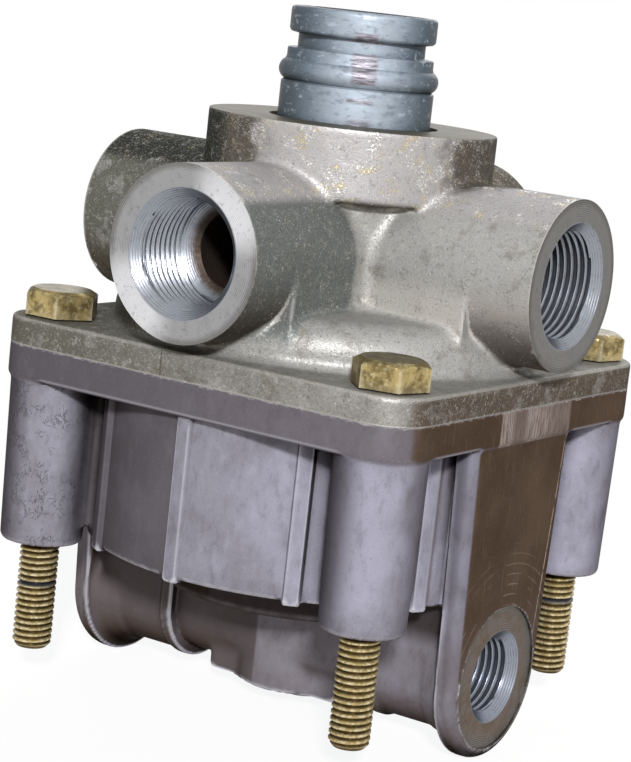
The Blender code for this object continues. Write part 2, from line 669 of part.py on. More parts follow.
def exhaust_neck():
    """The turned exhaust neck and valve guide, one piece of plated metal, with its seals and liner."""
    shoulder = CLIP_Z - CLEARANCE
    seal_z = (NECK_FOOT_Z + shoulder) / 2
    seal_half = RING_R + RING_ROOM
    seal_in = NECK_FOOT_R - 2 * RING_R - RING_SEAT
    rim_r = NECK_STEP_R - NECK_RIM_ROUND
    outer = arc(rim_r, NECK_TOP_Z - NECK_RIM_ROUND, NECK_RIM_ROUND, 90, 0)
    outer += arc(rim_r, NECK_GROOVE_Z + NECK_RIM_ROUND, NECK_RIM_ROUND, 0, -90)
    outer += [(NECK_GROOVE_R, NECK_GROOVE_Z), (NECK_GROOVE_R, NECK_STEP_Z)]
    outer += arc(NECK_STEP_R - NECK_STEP_ROUND, NECK_STEP_Z - NECK_STEP_ROUND, NECK_STEP_ROUND, 90, 0, 1)
    outer += [(NECK_STEP_R, NECK_BEAD_Z + NECK_BEAD_HALF)]
    outer += arc(NECK_R + NECK_BEAD - NECK_BEAD_HALF, NECK_BEAD_Z, NECK_BEAD_HALF, 60, -60, 4)
    outer += [(NECK_R, NECK_BEAD_Z - NECK_BEAD_HALF), (NECK_R, shoulder), (NECK_FOOT_R, shoulder)]
    outer += [(NECK_FOOT_R, seal_z + seal_half), (seal_in, seal_z + seal_half)]
    outer += [(seal_in, seal_z - seal_half), (NECK_FOOT_R, seal_z - seal_half), (NECK_FOOT_R, NECK_FOOT_Z)]
    outer += [(CHAMBER_R - CLEARANCE, NECK_FOOT_Z), (CHAMBER_R - CLEARANCE, CHAMBER_ROOF_Z)]

    guide_ring_r = TUBE_R + SMALL_RING_R + CLEARANCE
    ring_z = (CHAMBER_ROOF_Z + GUIDE_TOP_Z) / 2
    ring_half = SMALL_RING_R + RING_ROOM
    pocket_r = guide_ring_r + SMALL_RING_R + CLEARANCE
    liner_r = NECK_BORE_R + LINER_WALL
    liner_low = NECK_TOP_Z - LINER_DEPTH
    inner = [(GUIDE_R, CHAMBER_ROOF_Z), (GUIDE_R, ring_z - ring_half), (pocket_r, ring_z - ring_half)]
    inner += [(pocket_r, ring_z + ring_half), (GUIDE_R, ring_z + ring_half), (GUIDE_R, GUIDE_TOP_Z)]
    inner += [(NECK_BORE_R, GUIDE_TOP_Z + (NECK_BORE_R - GUIDE_R) * DRILL_SLOPE)]
    inner += [(NECK_BORE_R, liner_low - CLEARANCE), (liner_r + CLEARANCE, liner_low - CLEARANCE)]
    inner += [(liner_r + CLEARANCE, NECK_TOP_Z)]
    shade(lathe("exhaust_neck", outer + inner, MEDIUM_STEPS, closed=True), ZINC)

    liner_top = NECK_TOP_Z - LINER_BELOW_RIM
    liner = [(liner_r, liner_top), (liner_r, liner_low), (NECK_BORE_R, liner_low), (NECK_BORE_R, liner_top)]
    shade(lathe("neck_liner", liner, MEDIUM_STEPS, closed=True), BRASS)
    shade(ring("neck_seal_ring", seal_in + RING_R + RING_SEAT, seal_z, RING_R), RUBBER)
    shade(ring("guide_seal_ring", guide_ring_r, ring_z, SMALL_RING_R), RUBBER)


def neck_clip():
    """Open snap ring in the collar's groove, over the neck's foot."""
    inner_r = NECK_R + CLEARANCE
    outer_r = NECK_FOOT_R + CLIP_REACH
    start = 90 + CLIP_GAP_HALF_ANGLE
    end = 450 - CLIP_GAP_HALF_ANGLE
    outline = arc(0, 0, outer_r, start, end, MEDIUM_STEPS) + arc(0, 0, inner_r, end, start, MEDIUM_STEPS)
    shade(plate("neck_clip", outline, CLIP_Z, CLIP_Z + CLIP_THICKNESS, False), SPRING_STEEL)


def valve():
    """The hollow double-seat valve: flanged tube and rubber disc, pressed down by a spring."""
    flange_low = DISC_Z + DISC_RUBBER + CLEARANCE
    flange_top = flange_low + VALVE_FLANGE
    tube_top = GUIDE_TOP_Z + TUBE_STANDS_OUT
    spigot_r = TUBE_R - DISC_LIP
    spigot_low = DISC_Z + DISC_LIP + CLEARANCE
    profile = [(TUBE_R, tube_top), (TUBE_R, flange_top + VALVE_FILLET), (TUBE_R + VALVE_FILLET, flange_top)]
    profile += [(DISC_R, flange_top), (DISC_R, flange_low), (spigot_r, flange_low), (spigot_r, spigot_low)]
    profile += [(TUBE_BORE_R, spigot_low), (TUBE_BORE_R, tube_top)]
    shade(lathe("valve_tube", profile, MEDIUM_STEPS, closed=True), ACETAL)

    rubber_top = flange_low - CLEARANCE
    rubber_r = DISC_R - SMALL_RING_R / 4
    rubber_in = spigot_r + CLEARANCE
    rubber = [(rubber_r, rubber_top), (rubber_r, DISC_Z + DISC_LIP), (rubber_r - DISC_LIP, DISC_Z)]
    rubber += [(TUBE_BORE_R, DISC_Z), (TUBE_BORE_R, DISC_Z + DISC_LIP), (rubber_in, DISC_Z + DISC_LIP)]
    rubber += [(rubber_in, rubber_top)]
    shade(lathe("valve_disc", rubber, MEDIUM_STEPS, closed=True), RUBBER)

    spring_r = TUBE_R + SPRING_OUT
    seat_top = CHAMBER_ROOF_Z - CLEARANCE
    seat_low = seat_top - SPRING_SEAT
    seat_r = spring_r + SPRING_WIRE_R + SPRING_SEAT_EDGE
    seat_in = TUBE_R + 2 * CLEARANCE
    cup = [(seat_r, seat_top), (seat_r, seat_low), (seat_in, seat_low), (seat_in, seat_top)]
    shade(lathe("spring_seat", cup, MEDIUM_STEPS, closed=True), SPRING_STEEL)

    low = flange_top + CLEARANCE + SPRING_WIRE_R
    high = seat_low - CLEARANCE - SPRING_WIRE_R
    curve = bpy.data.curves.new("valve_spring", "CURVE")
    curve.dimensions = "3D"
    curve.bevel_depth = SPRING_WIRE_R * MM
    curve.bevel_resolution = 1
    curve.use_fill_caps = True
    count = round(SPRING_TURNS * 16)
    spline = curve.splines.new("POLY")
    spline.points.add(count)
    for i, point in enumerate(spline.points):
        turns = i * SPRING_TURNS / count
        rise = (turns - SPRING_END_TURN) / (SPRING_TURNS - 2 * SPRING_END_TURN)
        level = low + (high - low) * min(max(rise, 0.0), 1.0)
        angle = math.tau * turns
        point.co = (spring_r * math.cos(angle) * MM, spring_r * math.sin(angle) * MM, level * MM, 1.0)
    shade(solid_from_curve("valve_spring", curve, False), SPRING_STEEL, 60)


def grooved_side(edge, ring_z):
    """Profile points of a seal ring's groove in a piston's side, from top to bottom."""
    half = RING_R + RING_ROOM
    depth = edge - 2 * RING_R - RING_SEAT
    return [(edge, ring_z + half), (depth, ring_z + half), (depth, ring_z - half), (edge, ring_z - half)]


def relay_piston():
    """The big piston: crown, skirt with a ring groove, ribbed hub and the exhaust seat on its nose."""
    edge = PISTON_BORE_R - CLEARANCE
    crown_z = -CROWN_BELOW_JOINT
    crown_low = crown_z - PISTON_CROWN
    nose_z = SEAT_Z - (PISTON_TRAVEL - VALVE_TRAVEL)
    ring_z = crown_z - PISTON_RING_BELOW
    skirt_z = FLOOR_Z + CLEARANCE
    bore_r = NOSE_R - NOSE_WALL
    bore_z = nose_z - NOSE_BORE_DEPTH
    profile = [(0, bore_z), (bore_r, bore_z + OVERLAP), (bore_r, nose_z), (NOSE_R - NOSE_ROUND, nose_z)]
    profile += [(NOSE_R, nose_z - NOSE_ROUND), (NOSE_R, crown_z + PISTON_HUB), (PISTON_HUB_R, crown_z)]
    profile += [(edge - PISTON_EDGE, crown_z), (edge, crown_z - PISTON_EDGE)]
    profile += grooved_side(edge, ring_z)
    profile += [(edge, skirt_z), (SKIRT_R, skirt_z), (SKIRT_R, crown_low - PISTON_FILLET)]
    profile += [(SKIRT_R - PISTON_FILLET, crown_low), (PUSHER_R + PUSHER_FLARE, crown_low)]
    profile += [(PUSHER_R, crown_low - PUSHER_FLARE), (PUSHER_R, PUSH_Z), (0, PUSH_Z)]
    piston = lathe("relay_piston", profile, BIG_STEPS - 8)
    ribs = []
    for i in range(PISTON_RIBS):
        rib = block("piston_rib_%d" % i, (PUSHER_R - OVERLAP, -PISTON_RIB / 2, crown_low - PISTON_RIB_DEPTH),
                    (SKIRT_R - RING_SEAT, PISTON_RIB / 2, crown_low + 1))
        rib.rotation_euler.z = math.tau * i / PISTON_RIBS + 0.2
        ribs.append(rib)
    combine(piston, "UNION", ribs)
    shade(piston, PISTON_ALUMINIUM)
    shade(ring("relay_piston_ring", edge - RING_R + RING_SEAT / 2, ring_z, RING_R, BIG_STEPS - 8), RUBBER)


def control_piston():
    """The small piston that the second control port works, with its seal ring."""
    edge = CONTROL_BORE_R - CLEARANCE
    low = CONTROL_FLOOR_Z + CLEARANCE
    top = low + CONTROL_PISTON
    push_top = PUSH_Z - CLEARANCE
    ring_z = (low + top) / 2
    profile = [(0, push_top), (PUSHER_R - PUSHER_ROUND, push_top), (PUSHER_R, push_top - PUSHER_ROUND)]
    profile += [(PUSHER_R, top), (edge - PISTON_EDGE, top), (edge, top - PISTON_EDGE)]
    profile += grooved_side(edge, ring_z)
    profile += [(edge, low + PISTON_EDGE), (edge - PISTON_EDGE, low)]
    profile += [(CONTROL_RISER_R + 2 * OVERLAP, low), (CONTROL_RISER_R + OVERLAP, low + OVERLAP)]
    profile += [(0, low + OVERLAP)]
    shade(lathe("control_piston", profile, MEDIUM_STEPS), PISTON_ALUMINIUM)
    shade(ring("control_piston_ring", edge - RING_R + RING_SEAT / 2, ring_z, RING_R, MEDIUM_STEPS), RUBBER)


def bolts():
    """Four hexagon-head bolts through both flanges, long enough to hold the valve on its bracket."""
    bearing = UPPER_FLANGE + CLEARANCE
    head_top = bearing + BOLT_HEAD
    tip = bearing - BOLT_UNDER_HEAD
    top_r = BOLT_HEAD_AF / 2 - BOLT_TIP / 2
    for number, name in enumerate(("right", "rear", "left", "front")):
        hexagon = []
        for corner in range(6):
            a = math.radians(HEX_TURN[name] + 60 * corner)
            hexagon.append((HEAD_CORNER_R * math.cos(a), HEAD_CORNER_R * math.sin(a)))
        bolt = plate("bolt_" + name, hexagon, bearing, head_top, False)
        around_r = HEAD_CORNER_R + 1
        chamfer = [(0, head_top + 1), (top_r, head_top + 1), (top_r, head_top)]
        chamfer += [(around_r, head_top - BOLT_TIP), (around_r, bearing - 1), (0, bearing - 1)]
        shank = [(0, bearing + 1), (BOLT_R, bearing + 1), (BOLT_R, tip + BOLT_TIP)]
        shank += [(BOLT_R - BOLT_TIP * DRILL_SLOPE, tip + BOLT_TIP / 4), (BOLT_R - BOLT_TIP, tip), (0, tip)]
        dome = lathe("head_chamfer_" + name, chamfer, SMALL_STEPS, True)
        stem = lathe("shank_" + name, shank, SMALL_STEPS, True)
        combine(bolt, "INTERSECT", [dome])
        combine(bolt, "UNION", [stem])
        for obj in (bolt, dome, stem):
            at_bolt(obj, number)
        shade(bolt, YELLOW_ZINC)


upper_housing()
control_housing()
exhaust_neck()
neck_clip()
valve()
relay_piston()
control_piston()
shade(ring("housing_seal_ring", HOUSING_RING_R, -HALF_GAP - RING_R, RING_R - RING_SEAT / 2, BIG_STEPS),
      RUBBER)
bolts()
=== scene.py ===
import math

import bmesh
import bpy
import numpy as np
from mathutils import Matrix, Vector


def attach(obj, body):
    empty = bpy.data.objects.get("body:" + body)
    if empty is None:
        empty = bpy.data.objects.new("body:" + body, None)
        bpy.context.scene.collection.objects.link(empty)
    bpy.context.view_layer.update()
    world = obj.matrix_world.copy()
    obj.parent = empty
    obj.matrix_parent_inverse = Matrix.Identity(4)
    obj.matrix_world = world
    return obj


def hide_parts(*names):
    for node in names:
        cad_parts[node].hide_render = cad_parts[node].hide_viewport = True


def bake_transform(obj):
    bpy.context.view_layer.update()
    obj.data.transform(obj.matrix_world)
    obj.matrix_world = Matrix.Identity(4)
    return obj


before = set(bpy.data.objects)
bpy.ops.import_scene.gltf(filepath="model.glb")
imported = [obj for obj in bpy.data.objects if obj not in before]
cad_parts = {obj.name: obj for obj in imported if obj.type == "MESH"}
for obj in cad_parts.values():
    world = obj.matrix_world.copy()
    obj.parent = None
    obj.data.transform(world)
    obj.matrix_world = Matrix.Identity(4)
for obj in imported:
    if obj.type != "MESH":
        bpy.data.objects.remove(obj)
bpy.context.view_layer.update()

for leftover in ("Cube", "Light", "Camera"):
    if leftover in bpy.data.objects:
        bpy.data.objects.remove(bpy.data.objects[leftover], do_unlink=True)

# ---------------------------------------------------------------------------------------------
# Lower casting: the cylinder of the relay piston with its bolt bosses, port lugs and cap.
# Pressure die-cast aluminium, left bare; the joint face, the bore, the lugs' spot faces and the
# threads are machined afterwards. All sizes are in millimetres.

MM = 0.001
WALL_R = 45.0
FLANGE_HALF = 47.4291
FLANGE_CORNER = 8.5
BOLT_PLACE = 38.3291
LOWER_FLANGE = 6.7
WALL_END = -38.2
DRUM_R = 29.5
DRUM_END = -46.2
LUG_AXIS = -53.9
LUG_FACE = 47.0291
LUG_BACK = 42.5291
LUG_R = 16.5
SPOT_FACE = 46.6291
JOINT_GAP = 0.03
BOLT_HOLE_R = 4.3
PISTON_BORE_R = 39.5
CAP_END = -66.4
RIB_ANGLES = (-63.6, -32.3, -1.0, 30.3, 61.6)


def put(name, data):
    """A new object in the scene with the given data."""
    obj = bpy.data.objects.new(name, data)
    bpy.context.scene.collection.objects.link(obj)
    return obj


def keep(name, bm):
    """A new object from a worked mesh, its faces turned outward."""
    bmesh.ops.recalc_face_normals(bm, faces=bm.faces)
    mesh = bpy.data.meshes.new(name)
    bm.to_mesh(mesh)
    bm.free()
    return put(name, mesh)


def fillet(a, b, radius):
    """Two forms joined, with a round of the given radius in the corner between them."""
    corner = np.hypot(np.maximum(radius - a, 0), np.maximum(radius - b, 0))
    return np.maximum(radius, np.minimum(a, b)) - corner


def crop(a, b, radius):
    """What two forms share, with its edge rounded off."""
    corner = np.hypot(np.maximum(radius + a, 0), np.maximum(radius + b, 0))
    return np.minimum(-radius, np.maximum(a, b)) + corner


def square(x, y, half, corner):
    """Distance to a square outline with round corners."""
    u = np.abs(x) - half + corner
    v = np.abs(y) - half + corner
    return np.hypot(np.maximum(u, 0), np.maximum(v, 0)) + np.minimum(np.maximum(u, v), 0) - corner


def between(value, low, high):
    """Distance to a slab between two limits."""
    return np.maximum(low - value, value - high)


def channel(y, z, half_width, axis, draft=0.0):
    """Outline of a cast channel: upright sides and a round underside."""
    above = np.maximum(z - axis, 0)
    return np.hypot(y, np.minimum(z - axis, 0)) - half_width - draft * above


def lower_form(x, y, z):
    """Signed distance to the lower casting's outside, in millimetres."""
    r = np.hypot(x, y)
    ax = np.abs(x)
    ay = np.abs(y)
    flange = crop(square(x, y, FLANGE_HALF, FLANGE_CORNER), between(z, -LOWER_FLANGE, 1.2), 0.9)
    wall = crop(r - WALL_R, between(z, WALL_END, 0), 0.9)
    for side in (-90, 90):
        for angle in RIB_ANGLES:
            turn = math.radians(side + angle)
            out = x * math.cos(turn) + y * math.sin(turn)
            across = y * math.cos(turn) - x * math.sin(turn)
            rib = crop(np.maximum(out - WALL_R - 0.85, 38 - out), np.abs(across) - 1.7, 0.6)
            rib = crop(rib, between(z, WALL_END - 0.6, -4), 0.5)
            wall = fillet(wall, rib, 0.35)
    drum = crop(r - DRUM_R, between(z, DRUM_END, -30), 2.0)
    boss_r = np.hypot(ax - BOLT_PLACE, ay - BOLT_PLACE)
    taper = 8.7 + (z + LOWER_FLANGE) * (8.7 - 8.15) / 32.8
    boss = crop(boss_r - taper, between(z, -39.9, -1), 1.5)
    out = (ax + ay) / math.sqrt(2)
    across = np.abs(ax - ay) / math.sqrt(2) - 4.5
    web = crop(np.maximum(across, between(out, 38, 54.2)), between(z, -35.7, -3), 0.6)
    body = fillet(wall, fillet(boss, web, 1.2), 1.2)

    lug = crop(channel(y, z, LUG_R, LUG_AXIS, 0.05), between(ax, LUG_BACK, 60), 0.7)
    lug = crop(lug, ax - LUG_FACE, 2.4)
    lug = np.maximum(lug, z + 3)
    arm = crop(channel(y, z, 12.5, LUG_AXIS), between(ax, 24, 45), 0.8)
    flare_r = 12.5 + 0.35 + np.clip((ax - 38.03) * 0.45, 0, 1.8)
    flare = np.maximum(np.hypot(y, z - LUG_AXIS) - flare_r, between(ax, 38.03, 44))
    gusset = crop(channel(y, z, 13.2, LUG_AXIS), np.abs(ax - 24.6) - 1.4, 0.7)
    thin = crop(channel(y, z, 11.0, LUG_AXIS), ax - 25, 0.8)
    arms = fillet(fillet(arm, lug, 1.6), flare, 1.2)
    arms = fillet(arms, thin, 0.8)
    arms = fillet(arms, gusset, 0.7)
    arms = np.maximum(arms, z + 3)
    arms = np.maximum(arms, np.where(ax < LUG_BACK - 1, z - WALL_END - 1.5, -99))

    cap = crop(np.hypot(x, y) - 11.5, between(z, CAP_END, -40), 0.9)
    bar = crop(np.maximum(ay - 8, between(z, CAP_END + 0.2, -52.9)), ax - 16.2, 2.0)
    under = fillet(fillet(drum, arms, 1.8), fillet(cap, bar, 1.0), 1.2)
    body = fillet(body, under, 1.2)
    return fillet(flange, body, 0.7)


def skin(name, form, low, high, step):
    """A casting's skin as a closed mesh: the surface where the form's distance is nil."""
    side = 16
    low = np.array(low, dtype=float)
    blocks = np.ceil((np.array(high) - low) / (step * side)).astype(int)
    middles = np.stack(np.meshgrid(*[np.arange(n) + 0.5 for n in blocks], indexing="ij"), -1)
    middles = form(*np.moveaxis(low + middles * side * step, -1, 0))
    # Blocks far from the surface keep the one value of their middle.
    depth = np.repeat(np.repeat(np.repeat(middles, side, 0), side, 1), side, 2)
    depth = np.pad(depth, ((0, 1), (0, 1), (0, 1)), mode="edge")
    reach = side * step * math.sqrt(3) / 2 * 1.15
    for block in np.argwhere(np.abs(middles) < reach):
        spans = [np.arange(i * side, (i + 1) * side + 1) for i in block]
        x, y, z = np.meshgrid(*[low[k] + spans[k] * step for k in range(3)], indexing="ij")
        depth[np.ix_(*spans)] = form(x, y, z)

    # Each cell that the surface passes through gets one point, amid its crossings.
    solid = depth < 0
    cells = [n - 1 for n in solid.shape]
    shifts = [(i, j, k) for i in (0, 1) for j in (0, 1) for k in (0, 1)]
    count = sum(solid[i:cells[0] + i, j:cells[1] + j, k:cells[2] + k].astype(np.int8)
                for i, j, k in shifts)
    mixed = (count > 0) & (count < 8)
    number = np.full(mixed.shape, -1, dtype=np.int64)
    place = np.argwhere(mixed)
    number[mixed] = np.arange(len(place))
    total = np.zeros((len(place), 3))
    hits = np.zeros(len(place))
    for a in shifts:
        for axis in range(3):
            if a[axis]:
                continue
            b = list(a)
            b[axis] = 1
            first = depth[tuple((place + a).T)]
            second = depth[tuple((place + b).T)]
            crossed = (first < 0) != (second < 0)
            along = np.where(crossed, first / np.where(crossed, first - second, 1), 0)
            point = np.array(a) + along[:, None] * (np.array(b) - a)
            total += point * crossed[:, None]
            hits += crossed
    points = low + (place + total / hits[:, None]) * step

    # Each grid edge that crosses the surface joins the points of its four cells.
    quads = []
    for axis in range(3):
        u, v = [k for k in range(3) if k != axis]
        after = np.roll(solid, -1, axis)
        edge = solid != after
        edge = edge[tuple(slice(1, n) if k != axis else slice(0, n) for k, n in enumerate(cells))]
        at = np.argwhere(edge)
        at[:, u] += 1
        at[:, v] += 1
        back_u = np.eye(3, dtype=int)[u]
        back_v = np.eye(3, dtype=int)[v]
        ring = [number[tuple((at - s).T)] for s in (0 * back_u, back_u, back_u + back_v, back_v)]
        ring = np.stack(ring, 1)
        turned = solid[tuple(at.T)] ^ (axis == 1)
        ring[turned] = ring[turned][:, ::-1]
        quads.append(ring)
    quads = np.concatenate(quads)

    # The points then settle on the true surface.
    start = points.copy()
    for settle in range(3):
        level = form(*points.T)
        slope = np.stack([(form(*(points + d).T) - form(*(points - d).T)) / 0.04
                          for d in np.eye(3) * 0.02], 1)
        points = points - slope * (level / np.maximum((slope ** 2).sum(1), 0.2))[:, None]
        points = start + np.clip(points - start, -0.5 * step, 0.5 * step)
    mesh = bpy.data.meshes.new(name)
    mesh.from_pydata(points * MM, [], quads[:, ::-1])
    mesh.update()
    return put(name, mesh)


def turn(name, profile, steps=128, closed=False):
    """A turned solid along Z from (radius, height) points. Unless closed, it ends on the axis."""
    bm = bmesh.new()
    rings = []
    for radius, height in profile:
        if radius == 0:
            rings.append([bm.verts.new((0, 0, height * MM))] * steps)
            continue
        angles = [math.tau * i / steps for i in range(steps)]
        rings.append([bm.verts.new((radius * math.cos(a) * MM, radius * math.sin(a) * MM, height * MM))
                      for a in angles])
    pairs = list(zip(rings, rings[1:] + rings[:1])) if closed else list(zip(rings, rings[1:]))
    for first, second in pairs:
        for i in range(steps):
            corners = [first[i - 1], first[i], second[i], second[i - 1]]
            corners = [c for k, c in enumerate(corners) if c not in corners[:k]]
            if len(corners) > 2:
                bm.faces.new(corners)
    return keep(name, bm)


def round_corner(centre_r, centre_z, radius, start, end, steps=6):
    """Profile points of an arc, its angles in degrees from outward, up positive."""
    angles = [math.radians(start + (end - start) * i / steps) for i in range(steps + 1)]
    return [(centre_r + radius * math.cos(a), centre_z + radius * math.sin(a)) for a in angles]


def screw(name, pitch, low, high, radius_at, around=64, rows=6):
    """A screw along Z: radius_at(phase, height) gives its radius, the phase 0 to 1 along one pitch."""
    bm = bmesh.new()
    lines = int((high - low) / pitch + 4) * rows
    grid = []
    for j in range(lines):
        line = []
        for i in range(around + 1):
            height = low - 2 * pitch + (j / rows + i / around) * pitch
            radius = radius_at(j / rows % 1, height)
            angle = math.tau * i / around
            line.append((radius * math.cos(angle) * MM, radius * math.sin(angle) * MM, height * MM))
        grid.append([bm.verts.new(p) for p in line[:-1]])
    for j in range(lines - 1):
        for i in range(around):
            if i < around - 1:
                corners = [grid[j][i], grid[j][i + 1], grid[j + 1][i + 1], grid[j + 1][i]]
            elif j < lines - 1 - rows:
                corners = [grid[j][i], grid[j + rows][0], grid[j + rows + 1][0], grid[j + 1][i]]
            else:
                continue
            bm.faces.new(corners)
    for limit, outward in ((low, -1), (high, 1)):
        cut = bmesh.ops.bisect_plane(bm, geom=bm.verts[:] + bm.edges[:] + bm.faces[:], dist=1e-8,
                                     plane_co=(0, 0, limit * MM), plane_no=(0, 0, outward),
                                     clear_outer=True)
        rim = [e for e in cut["geom_cut"] if isinstance(e, bmesh.types.BMEdge)]
        bmesh.ops.holes_fill(bm, edges=rim, sides=0)
    return keep(name, bm)


def lay(obj, direction, height):
    """Lay a tool made along Z on its side, pointing along a horizontal direction in degrees."""
    heading = Vector((math.cos(math.radians(direction)), math.sin(math.radians(direction)), 0))
    turned = heading.to_track_quat("Z", "Y").to_matrix().to_4x4()
    obj.data.transform(Matrix.Translation((0, 0, height * MM)) @ turned)
    return obj


def stand(obj, x, y):
    """Move an upright tool or piece sideways."""
    obj.data.transform(Matrix.Translation((x * MM, y * MM, 0)))
    return obj


def machine(obj, tools):
    """Cut the tools' shapes from a casting. Cut faces take the second material of the casting."""
    bpy.context.view_layer.objects.active = obj
    for tool in tools:
        for material in obj.data.materials:
            tool.data.materials.append(material)
        for polygon in tool.data.polygons:
            polygon.material_index = 1
        cut = obj.modifiers.new("machined", "BOOLEAN")
        cut.operation = "DIFFERENCE"
        cut.solver = "MANIFOLD"
        cut.object = tool
        with bpy.context.temp_override(object=obj, active_object=obj):
            bpy.ops.object.modifier_apply(modifier=cut.name)
        bpy.data.objects.remove(tool, do_unlink=True)
    return obj


def smooth(obj, angle=30):
    """Smooth the round faces and keep the machined edges sharp."""
    for polygon in obj.data.polygons:
        polygon.use_smooth = True
    obj.data.set_sharp_from_angle(angle=math.radians(angle))
    return obj


def port_tap(name, face, mouth_r, minor, major, pitch, depth, bore_r, reach):
    """The tap and drill of a port, along Z: chamfered mouth, thread, then the plain drilling."""
    chamfer = mouth_r - minor

    def cutting_radius(phase, height):
        below = face - height
        if below < chamfer:
            return max(minor, mouth_r - below) + 0.001
        if below > depth:
            return minor - min((below - depth) * 1.6, minor - bore_r)
        ridge = min(max(2.6 * abs(2 * phase - 1) - 0.6, 0), 1)
        return minor + (major - minor) * ridge * min((depth - below) / 0.8, 1)

    tap = screw(name, pitch, face - depth - 3.2, face + 0.5, cutting_radius)
    top = face - depth - 3
    drill = turn(name + "_drill", [(0, top), (bore_r, top), (bore_r, reach), (0, reach)], 64)
    return [tap, drill]


class Wire:
    """A socket in a material's nodes. Arithmetic on it adds Math nodes, so 1 - mask works."""

    def __init__(self, socket):
        self.socket = socket

    def node(self, kind, sockets, output=0, **settings):
        """Any other node: its type, its settings, and the values or wires of its sockets."""
        made = self.socket.id_data.nodes.new("ShaderNode" + kind)
        for name, value in settings.items():
            if name == "stops":
                ramp = made.color_ramp.elements
                ramp[0].position, ramp[0].color = value[0]
                ramp[1].position, ramp[1].color = value[-1]
                for place, colour in value[1:-1]:
                    ramp.new(place).color = colour
            else:
                setattr(made, name, value)
        for name, value in sockets.items():
            if isinstance(value, Wire):
                self.socket.id_data.links.new(value.socket, made.inputs[name])
            else:
                made.inputs[name].default_value = value
        return Wire(made.outputs[output])

    def math(self, operation, first, second=0.0):
        return self.node("Math", {0: first, 1: second}, operation=operation)

    def __add__(self, other):
        return self.math("ADD", self, other)

    def __radd__(self, other):
        return self.math("ADD", other, self)

    def __sub__(self, other):
        return self.math("SUBTRACT", self, other)

    def __rsub__(self, other):
        return self.math("SUBTRACT", other, self)

    def __mul__(self, other):
        return self.math("MULTIPLY", self, other)

    def __rmul__(self, other):
        return self.math("MULTIPLY", other, self)

    def __truediv__(self, other):
        return self.math("DIVIDE", self, other)

    def __abs__(self):
        return self.math("ABSOLUTE", self)


def paint(red, green, blue):
    """A colour as it looks, each part 0 to 255, for a socket."""
    parts = [c / 255 for c in (red, green, blue)]
    return tuple(c / 12.92 if c < 0.04045 else ((c + 0.055) / 1.055) ** 2.4 for c in parts) + (1.0,)


def finish(name, metallic, specular=0.0, edge=0.4):
    """A new material: its Principled shader, and the place on the object in millimetres."""
    material = bpy.data.materials.new(name)
    material.use_nodes = True
    shader = material.node_tree.nodes["Principled BSDF"]
    shader.inputs["Metallic"].default_value = metallic
    shader.inputs["Specular IOR Level"].default_value = specular
    shader.inputs["Specular Tint"].default_value = (edge, edge, edge, 1.0)
    start = material.node_tree.nodes.new("ShaderNodeTexCoord").outputs["Object"]
    place = Wire(start).node("VectorMath", {0: Wire(start), "Scale": 1000.0}, operation="SCALE")
    return material, shader, place


def feed(shader, **wires):
    """Lead wires into the shader's sockets."""
    for name, wire in wires.items():
        shader.id_data.links.new(wire.socket, shader.inputs[name.replace("_", " ")])


def parts_of(vector):
    """The three parts of a vector."""
    return [vector.node("SeparateXYZ", {0: vector}, output=k) for k in range(3)]


def grain(place, size, detail=2.0, rough=0.5, stretch=(1, 1, 1), shift=0.0):
    """Noise whose spots are about the given size in millimetres, longer along a stretched axis."""
    scale = tuple(1 / (size * s) for s in stretch)
    moved = place.node("VectorMath", {0: place, 1: scale, 2: (shift, shift, shift)},
                       operation="MULTIPLY_ADD")
    return place.node("TexNoise", {"Vector": moved, "Scale": 1.0, "Detail": detail, "Roughness": rough})


def fade(value, low, high):
    """0 below low and 1 above high, with a soft change between; low above high turns it round."""
    return value.node("MapRange", {"Value": value, "From Min": low, "From Max": high},
                      interpolation_type="SMOOTHSTEP")


def tint(mask, plain, changed):
    """One colour where the mask is 0 and another where it is 1."""
    return mask.node("Mix", {0: mask, 6: plain, 7: changed}, output=2, data_type="RGBA")


def relief(height):
    """A normal from a height in millimetres."""
    return height.node("Bump", {"Height": height, "Strength": 1.0, "Distance": MM})


def glints(place, size, share, shift=0.0, stretch=(1, 1, 1)):
    """Bright nicks and rubbed grains, scattered in patches; share is how much of a patch they fill."""
    fine = grain(place, size, 3, 0.7, stretch, shift)
    patch = grain(place, size * 9, 2, 0.6, shift=shift + 3)
    edge = 0.66 - share * 0.3 * fade(patch, 0.42, 0.62)
    return fade(fine - edge, 0.0, 0.07)


def off_axis_by(first, second):
    """Distance from an axis, given the two parts of the place across it."""
    return first.math("SQRT", first * first + second * second)


def facing(place):
    """How much a surface looks along X, Y and Z, each from -1 to 1."""
    return parts_of(place.node("NewGeometry", {}, output="Normal"))


def painted_crevice_shade(place, reach):
    """Painted shade: 1 down in corners and crevices within the given reach in millimetres, 0 in the
    open.
    """
    open_air = place.node("AmbientOcclusion", {"Distance": reach * MM}, output="AO", samples=6)
    return fade(open_air, 0.75, 0.25)


def edge_wear_and_hollow_sheen(place, low, high):
    """1 on sharp outer edges, where wear shows, 0 on flats and hollows; limits under a half pick out
    the hollows, for painted highlights there.
    """
    return fade(place.node("NewGeometry", {}, output="Pointiness"), low, high)


